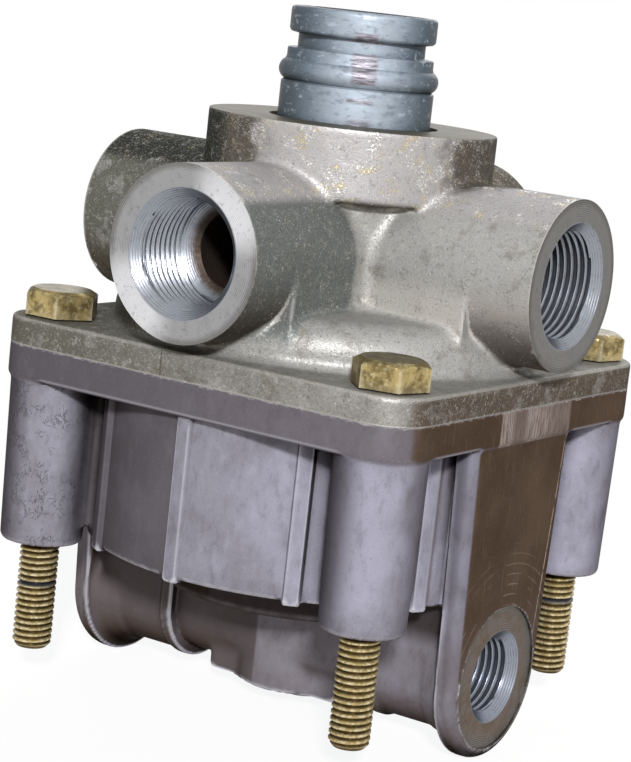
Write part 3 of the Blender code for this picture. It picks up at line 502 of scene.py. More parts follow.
def die_cast():
    """Bare die-cast aluminium: violet-grey and clouded, creased here and there, brown on the lugs;
    painted light towards +X, painted shade on the flange sides, the bosses' sides, undersides, under
    the wall and in crevices.
    """
    metal, shader, place = finish("die_cast_aluminium", 0.3)
    x, y, z = parts_of(place)
    side, up = facing(place)[::2]
    cloud = grain(place, 15, 3, 0.55)
    brushed = grain(place, 2.2, 4, 0.62, (1, 1, 2), 5)
    pits = grain(place, 1.1, 3, 0.7, (1, 1, 1.6), 8)
    speck = grain(place, 0.4, 3, 0.65)
    turned_r = off_axis_by(x, y)
    dark_wall = fade(turned_r, 47.4, 46.4) * fade(x + 0.8 * (cloud - 0.5), -2.0, -2.8)
    # Painted light: the base colour grows lighter towards +X.
    colour = tint(fade(x, 2, 30), paint(146, 145, 155), paint(160, 159, 173))
    colour = tint(dark_wall, colour, paint(94, 90, 94))
    colour = tint(fade(cloud, 0.42, 0.64) * 0.45, colour, paint(112, 108, 113))
    # Painted shade: the flange's side faces darker, more so towards -X, and dark brown where they face
    # +X.
    rim_side = fade(z, -7.2, -6.2) * fade(abs(up), 0.6, 0.3)
    rim_grey = tint(fade(x, -30, 30), paint(88, 84, 88), paint(108, 102, 106))
    colour = tint(rim_side * 0.9, colour, rim_grey)
    colour = tint(rim_side * fade(side, 0.86, 0.98) * 0.8, colour, paint(96, 83, 73))
    pale = (1 - 0.85 * dark_wall) * (1 - 0.85 * rim_side)
    colour = tint(fade(brushed, 0.5, 0.7) * 0.3, colour, paint(92, 88, 94))
    colour = tint(fade(brushed, 0.48, 0.3) * 0.28 * pale, colour, paint(176, 175, 188))
    colour = tint(fade(speck, 0.58, 0.72) * 0.2 * (0.3 + 0.7 * pale), colour, paint(178, 176, 186))
    colour = tint(fade(speck, 0.42, 0.28) * 0.35, colour, paint(76, 71, 74))
    boss_x = x - BOLT_PLACE * x.math("SIGN", x)
    boss_y = y - BOLT_PLACE * y.math("SIGN", y)
    boss = fade(turned_r, 46.6, 47.6) * fade(z, -6.4, -7.4)
    crease = pits - 0.5
    wrinkle = fade(abs(crease), 0.022, 0.006) * fade(grain(place, 4, 2, shift=3), 0.48, 0.6)
    wrinkle = wrinkle * boss * fade(x, 10, -10)
    colour = tint(wrinkle * 0.55, colour, paint(62, 58, 62))
    # Painted shade down both sides of each bolt boss, deeper on the side towards -X.
    shade = fade(-0.83 * boss_x - 0.56 * boss_y, 2.5, 8.0)
    shade = shade + 0.5 * fade(0.83 * boss_x + 0.56 * boss_y, 3.0, 8.0)
    colour = tint(boss * shade * 0.85, colour, paint(70, 66, 70))
    scratch = fade(grain(place, 0.3, 2, 0.6, (1, 1, 26), 9), 0.62, 0.72)
    from_port = off_axis_by(y, z - LUG_AXIS)
    arc = fade(x.math("SINE", from_port * 3.1), 0.8, 1.0) * fade(grain(place, 7, 2, shift=2), 0.5, 0.62)
    brown = tint(fade(cloud, 0.35, 0.7), paint(82, 67, 55), paint(96, 80, 67))
    brown = tint(fade(speck, 0.56, 0.72) * 0.35, brown, paint(124, 112, 108))
    line = y - 16.6 - 0.092 * (z + 6.6)
    line = fade(abs(line), 0.28, 0.1) * fade(z, -6.4, -6.8) * fade(pits, 0.36, 0.5)
    marks = scratch * 0.2 + arc * fade(from_port, 30, 18) * 0.3 + line * 0.8
    brown = tint(marks.math("MINIMUM", marks, 1.0), brown, paint(176, 162, 150))
    # Brown on the lug faces; on the flange's sides that face +X or -X the same brown is painted shade.
    lug = z.math("MAXIMUM", rim_side, fade(abs(y), 21, 20))
    lug = lug * fade(abs(side), 0.9, 0.985) * fade(turned_r, 44.5, 45.5)
    colour = tint(lug, colour, brown)
    strokes = fade(grain(place, 0.3, 3, 0.7, (1, 1, 14), 4), 0.36, 0.62)
    strokes = strokes * (0.35 + 0.65 * fade(y, 11, 4)) * (1 - 0.75 * fade((y + 4) * (y + 4), 9, 3))
    pad = fade(x, 47.0, 47.15) * fade(y, -11.6, -11.0) * fade(y, 16.6, 16.0) * fade(z, -7.0, -6.6)
    colour = tint(pad, colour, tint(strokes, paint(112, 98, 90), paint(172, 160, 154)))
    # Darker towards the bottom. Then painted shade on the faces that look down, a painted shadow under
    # the wall, and painted shade in corners and crevices.
    colour = tint(fade(z, -36, -48) * 0.4, colour, paint(100, 88, 82))
    colour = tint(fade(up, -0.2, -0.8) * 0.7, colour, paint(76, 60, 48))
    under = fade(z, -34.5, -36.0) * fade(z, -49, -44) * fade(turned_r, 45.5, 43)
    colour = tint(under * 0.85, colour, paint(44, 34, 26))
    colour = tint(painted_crevice_shade(place, 10), colour, paint(30, 23, 17))
    chipped = fade(z, -0.5, -0.25) * fade(grain(place, 1.4, 3, 0.6, (1, 1, 0.3)), 0.48, 0.66)
    colour = tint(chipped * 0.55, colour, paint(196, 190, 184))
    edge = edge_wear_and_hollow_sheen(place, 0.515, 0.56)
    colour = tint(edge * 0.8, colour, paint(204, 203, 212))
    roughness = 0.36 + 0.14 * brushed - 0.12 * fade(speck, 0.5, 0.7)
    height = 0.02 * speck + 0.05 * brushed + 0.2 * grain(place, 8, 1) - 0.08 * wrinkle
    feed(shader, Base_Color=colour, Roughness=roughness, Metallic=0.3 + 0.5 * edge,
         Normal=relief(height))
    return metal


def cut_face(name, height, bright, face_tint, side_tint, face_r, dark_from):
    """Turned aluminium round a port's axis: fine rings, a duller face, a painted sheen on two opposite
    sectors of the faces of the ports along Y, painted shade in corners and thread roots, brown deep in
    the drilling.
    """
    metal, shader, place = finish(name, 0.9)
    x, y, z = parts_of(place)
    far_x = abs(x)
    far_y = abs(y)
    on_x = far_x.math("GREATER_THAN", far_x, far_y)
    aside = on_x * far_y + (1 - on_x) * far_x
    depth = x.math("MAXIMUM", far_x, far_y)
    rise = z - height
    on_top = z.math("GREATER_THAN", z, height + 18.0)
    from_axis = off_axis_by(aside, rise)
    radius = on_top * off_axis_by(x, y) + (1 - on_top) * from_axis
    wobble = grain(place, 6, 2)
    coarse = grain(place, 0.9, 3, 0.6)
    smear = grain(place, 3, 3, 0.6)
    rings = x.math("SINE", radius * 17.0 + 6.0 * wobble) * fade(smear, 0.3, 0.6)
    deep = fade(depth, dark_from, dark_from - 1.2) * (1 - on_top)
    on_face = fade(radius, face_r, face_r + 0.3)
    colour = tint(on_face, bright, tint(on_x, face_tint, side_tint))
    rim = fade(radius + 0.8 * (smear - 0.5), face_r + 2.9, face_r + 4.2) * (1 - on_top)
    colour = tint(rim * 0.7, colour, paint(104, 102, 94))
    colour = tint(fade(smear, 0.45, 0.7) * 0.25, colour, paint(104, 100, 102))
    # A painted sheen across two opposite sectors of the faces of the ports along Y.
    painted_sector_sheen = (1 - on_x) * on_face * fade(x * rise / (radius * radius), 0.0, 0.45)
    colour = tint(painted_sector_sheen * 0.8, colour, paint(236, 236, 238))
    colour = tint(fade(rings, 0.0, 1.0) * 0.25, colour, paint(206, 206, 214))
    colour = tint(fade(rings, -0.3, -1.0) * 0.2, colour, paint(96, 90, 90))
    colour = tint(on_top, colour, paint(112, 109, 98))
    colour = tint(fade(coarse, 0.58, 0.7) * 0.3, colour, paint(80, 73, 70))
    # Painted shade in corners and thread roots.
    colour = tint(painted_crevice_shade(place, 1.2) * 0.7, colour, paint(52, 50, 54))
    colour = tint(deep, colour, paint(78, 68, 60))
    roughness = 0.24 + 0.12 * smear + 0.1 * on_face + 0.3 * deep
    height_map = (0.01 + 0.01 * on_face) * rings + 0.015 * coarse + 0.2 * deep * grain(place, 1.2, 3)
    feed(shader, Base_Color=colour, Roughness=roughness, Normal=relief(height_map))
    return metal


lower = skin("lower_casting", lower_form, (-48.5, -48.5, -71.2), (48.5, 48.5, 1.8), 0.68)
bore = [(0, 3), (PISTON_BORE_R, 3), (PISTON_BORE_R, -34), (DRUM_R, -34), (DRUM_R, -28), (26, -28)]
bore += [(26, -42), (0, -42)]
lower.data.materials.append(die_cast())
lower.data.materials.append(cut_face("lower_machined_aluminium", LUG_AXIS, paint(138, 144, 156),
                                       paint(112, 100, 90), paint(116, 103, 92), 9.1, 33.0))
groove = [(43.6, 3), (43.6, -2.75), (40.4, -2.75), (40.4, 3)]
tools = [turn("bore_tool", bore), turn("groove_tool", groove, closed=True)]
tools.append(turn("joint_tool", [(0, 5), (80, 5), (80, -JOINT_GAP), (0, -JOINT_GAP)], 8))
for direction in (0, 180):
    spot = turn("spot_tool", [(0, 60), (14.3, 60), (14.3, SPOT_FACE), (0, SPOT_FACE)])
    tools.append(lay(spot, direction, LUG_AXIS))
    reach = 26.95 if direction == 0 else -4.6
    for tool in port_tap("control_tap", SPOT_FACE, 9.2, 7.25, 7.95, 1.5, 13.0, 4.6, reach):
        tools.append(lay(tool, direction, LUG_AXIS))
relay_riser = turn("relay_riser", [(0, -32), (2.95, -32), (2.95, LUG_AXIS), (0, LUG_AXIS)], 32)
tools.append(stand(relay_riser, DRUM_R + 0.4 + 2.95, 0))
tools.append(turn("control_riser", [(0, -40), (4.1, -40), (4.1, LUG_AXIS), (0, LUG_AXIS)], 32))
for x in (-BOLT_PLACE, BOLT_PLACE):
    for y in (-BOLT_PLACE, BOLT_PLACE):
        hole = [(0, 3), (BOLT_HOLE_R, 3), (BOLT_HOLE_R, -38.9), (4.9, -39.5), (4.9, -42), (0, -42)]
        tools.append(stand(turn("bolt_hole", hole, 48), x, y))
        facer = turn("boss_facer", [(0, -39.5), (9.5, -39.5), (9.5, -42), (0, -42)], 48)
        tools.append(stand(facer, x, y))
machine(lower, tools)
smooth(lower)
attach(lower, "housing")
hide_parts("control_housing")


# ---------------------------------------------------------------------------------------------
# Upper casting: flange, shoulder, four threaded ports on flat-sided pedestals, and the neck's
# collar. Sand-cast aluminium with a rough, stained skin, machined at the joint face, the port
# faces and threads, and inside.

UPPER_FLANGE = 5.4
SHOULDER_TOP = 14.65
COLUMN_R = 24.5
COLLAR_R = 28.7
COLLAR_TOP = 48.9
PORT_HEIGHT = 24.2
PORT_R = 16.6
PORT_FACE = 52.6291


def upper_form(x, y, z):
    """Signed distance to the upper casting's outside, in millimetres."""
    r = np.hypot(x, y)
    ax = np.abs(x)
    ay = np.abs(y)
    flange = crop(square(x, y, FLANGE_HALF, FLANGE_CORNER), between(z, -1.2, UPPER_FLANGE), 0.9)
    slope = z - SHOULDER_TOP + 0.02 * np.clip(r - COLUMN_R, 0, 25)
    shoulder = crop(crop(r - 43.4, slope, 6.0), -1.2 - z, 0.5)
    body = fillet(flange, shoulder, 2.2)
    column = np.maximum(r - COLUMN_R, between(z, -1, 38))
    collar = crop(r - COLLAR_R, between(z, 35, COLLAR_TOP + 0.6), 1.2)
    column = fillet(column, collar, 1.0)
    body = fillet(body, column, 3.0)
    ports = None
    for along, across in ((ax, y), (ay, x)):
        barrel = crop(np.hypot(across, z - PORT_HEIGHT) - PORT_R, along - PORT_FACE - 0.6, 0.4)
        pedestal = crop(np.abs(across) - 16.5, along - 39.3, 0.4)
        pedestal = np.maximum(pedestal, between(z, 1, PORT_HEIGHT))
        port = fillet(barrel, pedestal, 0.5)
        ports = port if ports is None else fillet(ports, port, 1.2)
    return fillet(body, ports, 1.3)


def sand_cast():
    """Sand-cast aluminium: olive and brown stains over grey, a gritty skin, bright nicks and edges;
    painted light towards +X and on the lamp side of the collar and pedestals, painted shade on the
    flange sides, undersides and crevices, painted highlights in the fillets and painted glints.
    """
    metal, shader, place = finish("sand_cast_aluminium", 0.3)
    x, y, z = parts_of(place)
    far_x = abs(x)
    far_y = abs(y)
    side, back, up = facing(place)
    cloud = grain(place, 13, 3, 0.6)
    stain = grain(place, 4.5, 4, 0.62, shift=7)
    mottle = grain(place, 1.6, 4, 0.65)
    grit = grain(place, 0.4, 3, 0.7)
    # Painted light: darker towards -X, lighter towards +X.
    painted_side_light = fade(x + 30 * cloud, -28, 55)
    colour = tint(painted_side_light, paint(100, 101, 92), paint(170, 169, 165))
    # Painted shade: the flange's side faces darker, and dark brown where they face +X.
    rim_side = fade(z, 5.9, 5.2)
    colour = tint(rim_side * 0.4, colour, paint(104, 101, 90))
    colour = tint(rim_side * fade(side, 0.8, 0.97) * 0.85, colour, paint(88, 74, 62))
    seam = x + 6.2 + 0.3 * (cloud - 0.5)
    seam = rim_side * fade(abs(seam), 0.22, 0.08)
    colour = tint(seam * 0.7, colour, paint(60, 52, 40))
    colour = tint(fade(stain, 0.52, 0.68) * 0.4, colour, paint(106, 99, 84))
    colour = tint(fade(stain, 0.46, 0.34) * 0.3, colour, paint(178, 176, 172))
    # Painted light on the pedestals' flat sides that face -Y.
    pedestal = fade(far_y, 17.6, 16.9) * fade(back, -0.8, -0.95) * fade(z, 24, 18) * fade(z, 7, 9)
    pedestal = pedestal * painted_side_light
    colour = tint(pedestal * 0.7, colour, paint(198, 193, 185))
    above = z.math("MAXIMUM", z - PORT_HEIGHT, 0.0)
    off_axis = off_axis_by(x, above)
    turned_r = off_axis_by(x, y)
    barrel = fade(off_axis, 17.9, 17.0) * fade(turned_r, 25.2, 26.6) * fade(far_y - far_x, 0, 2)
    barrel = barrel * fade(z, 8, 11)
    colour = tint(barrel, colour, paint(116, 120, 117))
    barrel_top = fade(up, 0.55, 0.95) * fade(turned_r, 25, 27) * fade(z, 24, 26)
    colour = tint(barrel_top * 0.5, colour, paint(104, 104, 98))
    # The collar: a painted highlight on its side towards the lamp and painted shade on the rest,
    # darkest towards -X.
    collar = fade(z, 34.5, 36.5)
    front = (0.56 * x - 0.83 * y) / 28.7
    painted_collar_highlight = fade(front + 0.3 * (stain - 0.5), 0.7, 0.86)
    painted_collar_shade = tint(fade(x + 3 * (stain - 0.5), -9, -16), paint(96, 91, 82), paint(56, 58, 54))
    colour = tint(collar, colour, tint(painted_collar_highlight, painted_collar_shade, paint(176, 173, 172)))
    colour = tint(fade(mottle, 0.54, 0.68) * 0.3, colour, paint(186, 182, 174))
    colour = tint(fade(mottle, 0.44, 0.32) * 0.25, colour, paint(84, 80, 70))
    colour = tint(fade(grit, 0.44, 0.3) * 0.5, colour, paint(66, 62, 54))
    colour = tint(fade(grit, 0.56, 0.68) * 0.35, colour, paint(208, 204, 194))
    # Painted shade on the faces that look down and in corners and crevices.
    colour = tint(fade(up, -0.1, -0.8) * 0.7, colour, paint(70, 58, 46))
    colour = tint(painted_crevice_shade(place, 2) * 0.5, colour, paint(42, 34, 26))
    # Bright nicks, more of them where the painted light falls, so partly painted glints.
    shown = 0.35 + 0.65 * painted_side_light
    nicks_and_painted_glints = glints(place, 0.42, 0.22, 1.0) * shown
    nicks_and_painted_glints = nicks_and_painted_glints + collar * glints(place, 0.5, 0.55, 4.0, (1, 1, 0.6)) * (0.25 + 0.75 * painted_collar_highlight)
    nicks_and_painted_glints = nicks_and_painted_glints.math("MINIMUM", nicks_and_painted_glints, 1.0)
    gold = fade(grain(place, 3.0, 1, shift=11), 0.5, 0.58)
    colour = tint(nicks_and_painted_glints * 0.85, colour, tint(gold, paint(244, 242, 236), paint(228, 212, 166)))
    # Painted highlights along the hollow fillets.
    hollow = edge_wear_and_hollow_sheen(place, 0.475, 0.44)
    colour = tint(hollow * 0.55, colour, paint(222, 217, 208))
    edge = edge_wear_and_hollow_sheen(place, 0.52, 0.57)
    colour = tint(edge * 0.65, colour, paint(214, 210, 202))
    roughness = 0.38 + 0.16 * stain - 0.15 * nicks_and_painted_glints - 0.12 * fade(grit, 0.5, 0.65)
    height = 0.05 * grit + 0.09 * mottle + 0.3 * grain(place, 8, 1) - 0.05 * nicks_and_painted_glints
    feed(shader, Base_Color=colour, Roughness=roughness, Metallic=0.34 + 0.4 * nicks_and_painted_glints + 0.3 * edge,
         Normal=relief(height))
    return metal


upper = skin("upper_casting", upper_form, (-54.2, -54.2, -2.4), (54.2, 54.2, 50.4), 0.62)
upper.data.materials.append(sand_cast())
upper.data.materials.append(cut_face("upper_machined_aluminium", PORT_HEIGHT, paint(148, 153, 160),
                                       paint(160, 160, 160), paint(134, 132, 128), 12.1, 38.4))
tools = [turn("joint_tool", [(0, JOINT_GAP), (80, JOINT_GAP), (80, -5), (0, -5)], 8)]
collar_face = [(0, 53), (40, 53), (40, COLLAR_TOP - 0.5), (COLLAR_R - 0.6, COLLAR_TOP), (0, COLLAR_TOP)]
tools.append(turn("collar_facer", collar_face))
seat = [(0, 52), (17.3, 52), (16.7, COLLAR_TOP - 0.6), (16.7, 46.5), (18.4, 46.5), (18.4, 44.5)]
seat += [(16.7, 44.5), (16.7, 34.9), (15.4, 34.9), (15.4, 17.4), (11.3, 17.4), (10.1, 19.0)]
seat += [(9.0, 19.0), (9.0, 0.0), (0, 0.0)]
tools.append(turn("valve_bore", seat))
hollow = [(0, 13.25), (16.9, 13.25), (25.65, 10.25), (34.4, 10.25), (38.4, 5.4), (38.4, -3), (0, -3)]
tools.append(turn("delivery_hollow", hollow))
for direction in (0, 90, 180, 270):
    facer = turn("port_facer", [(0, 60), (22, 60), (22, PORT_FACE), (0, PORT_FACE)], 48)
    tools.append(lay(facer, direction, PORT_HEIGHT))
    reach = 13.9 if direction % 180 == 0 else 19.4
    for tool in port_tap("port_tap", PORT_FACE, 12.1, 10.25, 11.05, 1.5, 14.0, 7.4, reach):
        tools.append(lay(tool, direction, PORT_HEIGHT))
for side in (-1, 1):
    duct = turn("delivery_duct", [(0, PORT_HEIGHT), (5.2, PORT_HEIGHT), (5.2, 8.25), (0, 8.25)], 32)
    tools.append(stand(duct, 0, side * 24.6))
for x in (-BOLT_PLACE, BOLT_PLACE):
    for y in (-BOLT_PLACE, BOLT_PLACE):
        hole = turn("bolt_hole", [(0, 8), (BOLT_HOLE_R, 8), (BOLT_HOLE_R, -3), (0, -3)], 48)
        tools.append(stand(hole, x, y))
machine(upper, tools)
smooth(upper)
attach(upper, "housing")
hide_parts("upper_housing")

# ---------------------------------------------------------------------------------------------
# Exhaust neck: a turned tube with a bead, a snap groove and a rim, dark zinc plated. The snap
# ring in the collar holds it down. Its liner is a pressed brass sleeve, set just below the rim.

NECK_TOP = 70.4


def dark_zinc():
    """Dark zinc plate on turned steel: blue-grey, with a painted highlight on the side facing the lamp,
    painted shade on the sides turned away and in crevices, and a painted highlight strip with fine
    lines.
    """
    metal, shader, place = finish("dark_zinc_plate", 0.2, 0.1)
    up = facing(place)[2]
    cloud = grain(place, 9, 3, 0.6)
    smear = grain(place, 2.2, 4, 0.6, (1, 1, 0.5))
    speck = grain(place, 0.5, 2)
    turned = grain(place, 0.35, 1, 0.5, (60, 60, 1))
    x, y = parts_of(place)[:2]
    turned_r = off_axis_by(x, y)
    # Painted light and shade: the colour runs from dark on the sides turned away to bright on the side
    # facing the lamp.
    front = (0.59 * x - 0.81 * y) / turned_r
    stops = [(0.3, paint(70, 80, 90)), (0.62, paint(92, 105, 114)), (0.78, paint(120, 133, 144)),
             (0.9, paint(156, 167, 178)), (1.0, paint(186, 197, 208))]
    colour = front.node("ValToRGB", {0: front + 0.14 * (cloud - 0.5)}, stops=stops)
    colour = tint(fade(cloud, 0.4, 0.68) * 0.25, colour, paint(112, 124, 126))
    colour = tint(fade(smear, 0.5, 0.7) * 0.5, colour, paint(92, 98, 106))
    colour = tint(fade(smear, 0.42, 0.3) * 0.5, colour, paint(196, 206, 216))
    # A painted highlight strip with fine lines down the side facing the lamp.
    aside = (0.81 * x + 0.59 * y) + 1.6 * (smear - 0.5)
    patch = fade(grain(place, 3.4, 1, 0.5, (40, 40, 1), 6), 0.44, 0.52) * fade(front, 0.6, 0.9)
    painted_highlight_strip = patch * fade(abs(aside), 2.9, 1.9)
    lines = grain(place, 0.3, 2, 0.6, (9, 9, 1))
    highlight_strip_colour = tint(fade(lines, 0.4, 0.6), paint(98, 88, 94), paint(172, 164, 172))
    colour = tint(painted_highlight_strip * 0.85, colour, highlight_strip_colour)
    colour = tint(fade(up, 0.6, 0.95) * 0.5, colour, paint(96, 102, 106))
    # Painted shade in corners and crevices.
    colour = tint(painted_crevice_shade(place, 3) * 0.8, colour, paint(34, 38, 42))
    colour = tint(glints(place, 0.35, 0.2) * 0.5, colour, paint(216, 220, 222))
    colour = tint(edge_wear_and_hollow_sheen(place, 0.53, 0.6) * 0.5, colour, paint(206, 212, 218))
    roughness = 0.3 + 0.2 * smear
    height = 0.012 * turned + 0.012 * speck + 0.03 * smear + 0.06 * painted_highlight_strip * lines
    feed(shader, Base_Color=colour, Roughness=roughness, Normal=relief(height))
    return metal


def brass():
    """Drawn brass, a little tarnished."""
    metal, shader, place = finish("tarnished_brass", 1.0)
    smear = grain(place, 1.8, 3)
    colour = tint(fade(smear, 0.4, 0.7), paint(200, 160, 84), paint(128, 96, 48))
    feed(shader, Base_Color=colour, Roughness=0.28 + 0.2 * smear,
         Normal=relief(0.02 * grain(place, 0.6, 2)))
    return metal


neck_side = round_corner(13.6, NECK_TOP - 0.9, 0.9, 90, 0)
neck_side += round_corner(13.6, 66.1, 0.9, 0, -90)
neck_side += [(12.6, 65.0), (12.6, 62.5), (12.8, 62.3)]
neck_side += round_corner(14.1, 61.9, 0.4, 90, 0, 3)
neck_side += [(14.5, 60.6)]
neck_side += round_corner(13.55, 58.0, 2.3, 60, -60, 12)
neck_side += [(15.2, 55.6), (15.2, 44.5), (16.4, 44.5), (16.4, 41.4), (13.7, 41.4), (13.7, 38.4)]
neck_side += [(16.4, 38.4), (16.4, 35.2), (15.1, 35.2), (15.1, 33.5)]
neck_bore = [(8.0, 33.5), (8.0, 37.15), (10.1, 37.15), (10.1, 39.35), (8.0, 39.35), (8.0, 43.0)]
neck_bore += [(11.3, 44.98), (11.3, 65.9), (12.4, 65.9), (12.4, NECK_TOP - 0.2), (12.6, NECK_TOP)]
neck = smooth(turn("neck_tube", neck_side + neck_bore, 160, True))
neck.data.materials.append(dark_zinc())
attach(neck, "housing")
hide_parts("exhaust_neck")

liner_wall = [(12.0, NECK_TOP - 0.5), (12.1, NECK_TOP - 0.65), (12.1, 66.2), (11.3, 66.2)]
liner_wall += [(11.3, NECK_TOP - 0.7), (11.5, NECK_TOP - 0.5)]
liner = smooth(turn("brass_liner", liner_wall, 128, True))
liner.data.materials.append(brass())
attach(liner, "housing")
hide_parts("neck_liner")

# ---------------------------------------------------------------------------------------------
# What works inside: two turned aluminium pistons, the acetal valve tube with its rubber disc,
# the spring on its steel seat, the snap ring, and black rubber seal rings.


def piston_metal():
    """Turned aluminium with a thin film of grease."""
    metal, shader, place = finish("piston_aluminium", 0.95)
    smear = grain(place, 5, 3)
    rings = grain(place, 0.4, 1, 0.5, (50, 50, 1))
    colour = tint(fade(smear, 0.4, 0.7), paint(178, 178, 180), paint(150, 146, 140))
    feed(shader, Base_Color=colour, Roughness=0.3 + 0.15 * smear, Normal=relief(0.01 * rings))
    return metal


def bright_steel():
    """Drawn spring steel, oiled."""
    metal, shader, place = finish("spring_steel", 1.0)
    smear = grain(place, 1.5, 3)
    colour = tint(fade(smear, 0.4, 0.7), paint(120, 118, 118), paint(84, 80, 78))
    feed(shader, Base_Color=colour, Roughness=0.28 + 0.2 * smear,
         Normal=relief(0.01 * grain(place, 0.4, 2)))
    return metal


def black_rubber():
    """Moulded nitrile rubber with a dusty bloom."""
    metal, shader, place = finish("black_rubber", 0.0, 0.4)
    bloom = grain(place, 2, 3)
    colour = tint(fade(bloom, 0.45, 0.75), paint(24, 24, 25), paint(44, 43, 42))
    feed(shader, Base_Color=colour, Roughness=0.55 + 0.25 * bloom,
         Normal=relief(0.02 * grain(place, 0.3, 2)))
    return metal


def white_acetal():
    """Machined acetal, faintly yellow."""
    metal, shader, place = finish("white_acetal", 0.0, 0.5)
    smear = grain(place, 4, 3)
    rings = grain(place, 0.35, 1, 0.5, (50, 50, 1))
    colour = tint(fade(smear, 0.4, 0.7), paint(216, 214, 204), paint(196, 190, 172))
    feed(shader, Base_Color=colour, Roughness=0.4 + 0.1 * smear, Normal=relief(0.008 * rings))
    return metal


inside = {"relay_piston": piston_metal(), "valve_tube": white_acetal(), "valve_disc": black_rubber(),
          "spring_seat": bright_steel()}
inside["control_piston"] = inside["relay_piston"]
inside["neck_clip"] = inside["spring_seat"]
for name in ("relay_piston_ring", "control_piston_ring", "housing_seal_ring", "neck_seal_ring",
             "guide_seal_ring"):
    inside[name] = inside["valve_disc"]
for name, material in inside.items():
    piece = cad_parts[name].data
    piece.materials.clear()
    piece.materials.append(material)

# ---------------------------------------------------------------------------------------------
# The valve's spring, coiled steel wire with closed end turns. It stands on the valve's flange
# under its pressed seat.

COIL_R = 10.3
COIL_LOW = 24.85
COIL_HIGH = 31.35
WIRE_R = 0.75
drawn = bpy.data.curves.new("coil_path", "CURVE")
drawn.dimensions = "3D"
drawn.bevel_depth = WIRE_R * MM
drawn.bevel_resolution = 3
drawn.use_fill_caps = True
path = drawn.splines.new("POLY")
path.points.add(144)
for i, point in enumerate(path.points):
    rise = min(max((i / 48 - 0.5) / 2, 0.0), 1.0)
    turned = math.tau * i / 48
    point.co = (COIL_R * math.cos(turned) * MM, COIL_R * math.sin(turned) * MM,
                (COIL_LOW + (COIL_HIGH - COIL_LOW) * rise) * MM, 1.0)
bent = put("coil_path", drawn)
bpy.context.view_layer.update()
coil = put("valve_coil", bpy.data.meshes.new_from_object(bent))
bpy.data.objects.remove(bent)
coil.data.polygons.foreach_set("use_smooth", [True] * len(coil.data.polygons))
coil.data.materials.append(inside["spring_seat"])
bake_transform(coil)
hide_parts("valve_spring")

# ---------------------------------------------------------------------------------------------
# Four hexagon-head bolts M8, cold-headed steel with rolled threads, yellow zinc plated. They
# clamp both castings and reach far enough below to hold the valve on its bracket.

HEAD_LOW = 5.7
HEAD_TOP = 10.9
HEAD_ACROSS = 13.0
BOLT_END = -61.8


def bolt_side(phase, height):
    """Radius of a bolt's shank: plain, then a rolled thread with round crests and a bevelled end."""
    if height > -39.6:
        return 3.9
    crest = 0.5 - 0.5 * math.cos(math.tau * phase)
    thread = 3.32 + 0.62 * min(1.25 * crest, 1)
    return min(thread, 3.0 + (height - BOLT_END) * 0.9, 3.9)


def hexagon_head(turned):
    """A forged hexagon head: flat top with a round bevel that cuts the six corners."""
    bm = bmesh.new()
    rings = []
    for height in [HEAD_LOW] + [HEAD_TOP - drop for drop in (1.35, 1.0, 0.7, 0.42, 0.2, 0.05, 0.0)]:
        ring = []
        for i in range(96):
            a = math.tau * i / 96
            flat = (a + math.pi / 6) % (math.pi / 3) - math.pi / 6
            radius = min(HEAD_ACROSS / 2 / math.cos(flat), 5.75 + (HEAD_TOP - height) * 1.75)
            angle = a + math.radians(turned + 30)
            point = (radius * math.cos(angle) * MM, radius * math.sin(angle) * MM, height * MM)
            ring.append(bm.verts.new(point))
        rings.append(ring)
    for first, second in zip(rings, rings[1:]):
        for i in range(96):
            bm.faces.new((first[i - 1], first[i], second[i], second[i - 1]))
    bm.faces.new(rings[-1])
    bm.faces.new(rings[0][::-1])
    return bm


def yellow_zinc():
    """Yellow chromate over zinc: patchy gold and olive, painted shade in the thread roots, on upward
    faces and in crevices, painted highlights on the thread crests, rubbed on corners.
    """
    metal, shader, place = finish("yellow_zinc_plate", 0.55, 0.1)
    up = facing(place)[2]
    cloud = grain(place, 3.5, 3, 0.6)
    mottle = grain(place, 0.8, 3, 0.6)
    colour = tint(fade(cloud, 0.38, 0.62), paint(180, 160, 108), paint(112, 98, 62))
    colour = tint(fade(mottle, 0.52, 0.68) * 0.5, colour, paint(214, 202, 164))
    colour = tint(fade(mottle, 0.44, 0.32) * 0.5, colour, paint(98, 86, 56))
    x, y, z = parts_of(place)
    off_x = abs(x) - BOLT_PLACE
    off_y = abs(y) - BOLT_PLACE
    radius = off_axis_by(off_x, off_y)
    thread = fade(z, -39.0, -39.8)
    # Painted highlights on the thread crests and painted shade in the thread roots.
    crest = tint(fade(mottle, 0.42, 0.62), paint(178, 156, 102), paint(226, 214, 176))
    ridge = tint(fade(radius, 3.42, 3.86), paint(72, 56, 28), crest)
    colour = tint(thread * 0.8, colour, ridge)
    level = z + 47.2 - 0.03 * x
    ring = fade(abs(level), 0.75, 0.45) * fade(x - y, 60, 40) * thread
    colour = tint(ring * 0.75, colour, paint(48, 58, 78))
    # Painted shade on the upward faces above the thread, and in corners and crevices.
    colour = tint(fade(up, 0.7, 0.95) * (1 - thread) * 0.6, colour, paint(88, 82, 62))
    colour = tint(painted_crevice_shade(place, 1.0) * 0.6, colour, paint(46, 36, 18))
    colour = tint(edge_wear_and_hollow_sheen(place, 0.53, 0.62) * 0.6, colour, paint(236, 226, 192))
    feed(shader, Base_Color=colour, Roughness=0.2 + 0.2 * cloud,
         Normal=relief(0.04 * mottle + 0.08 * cloud))
    return metal


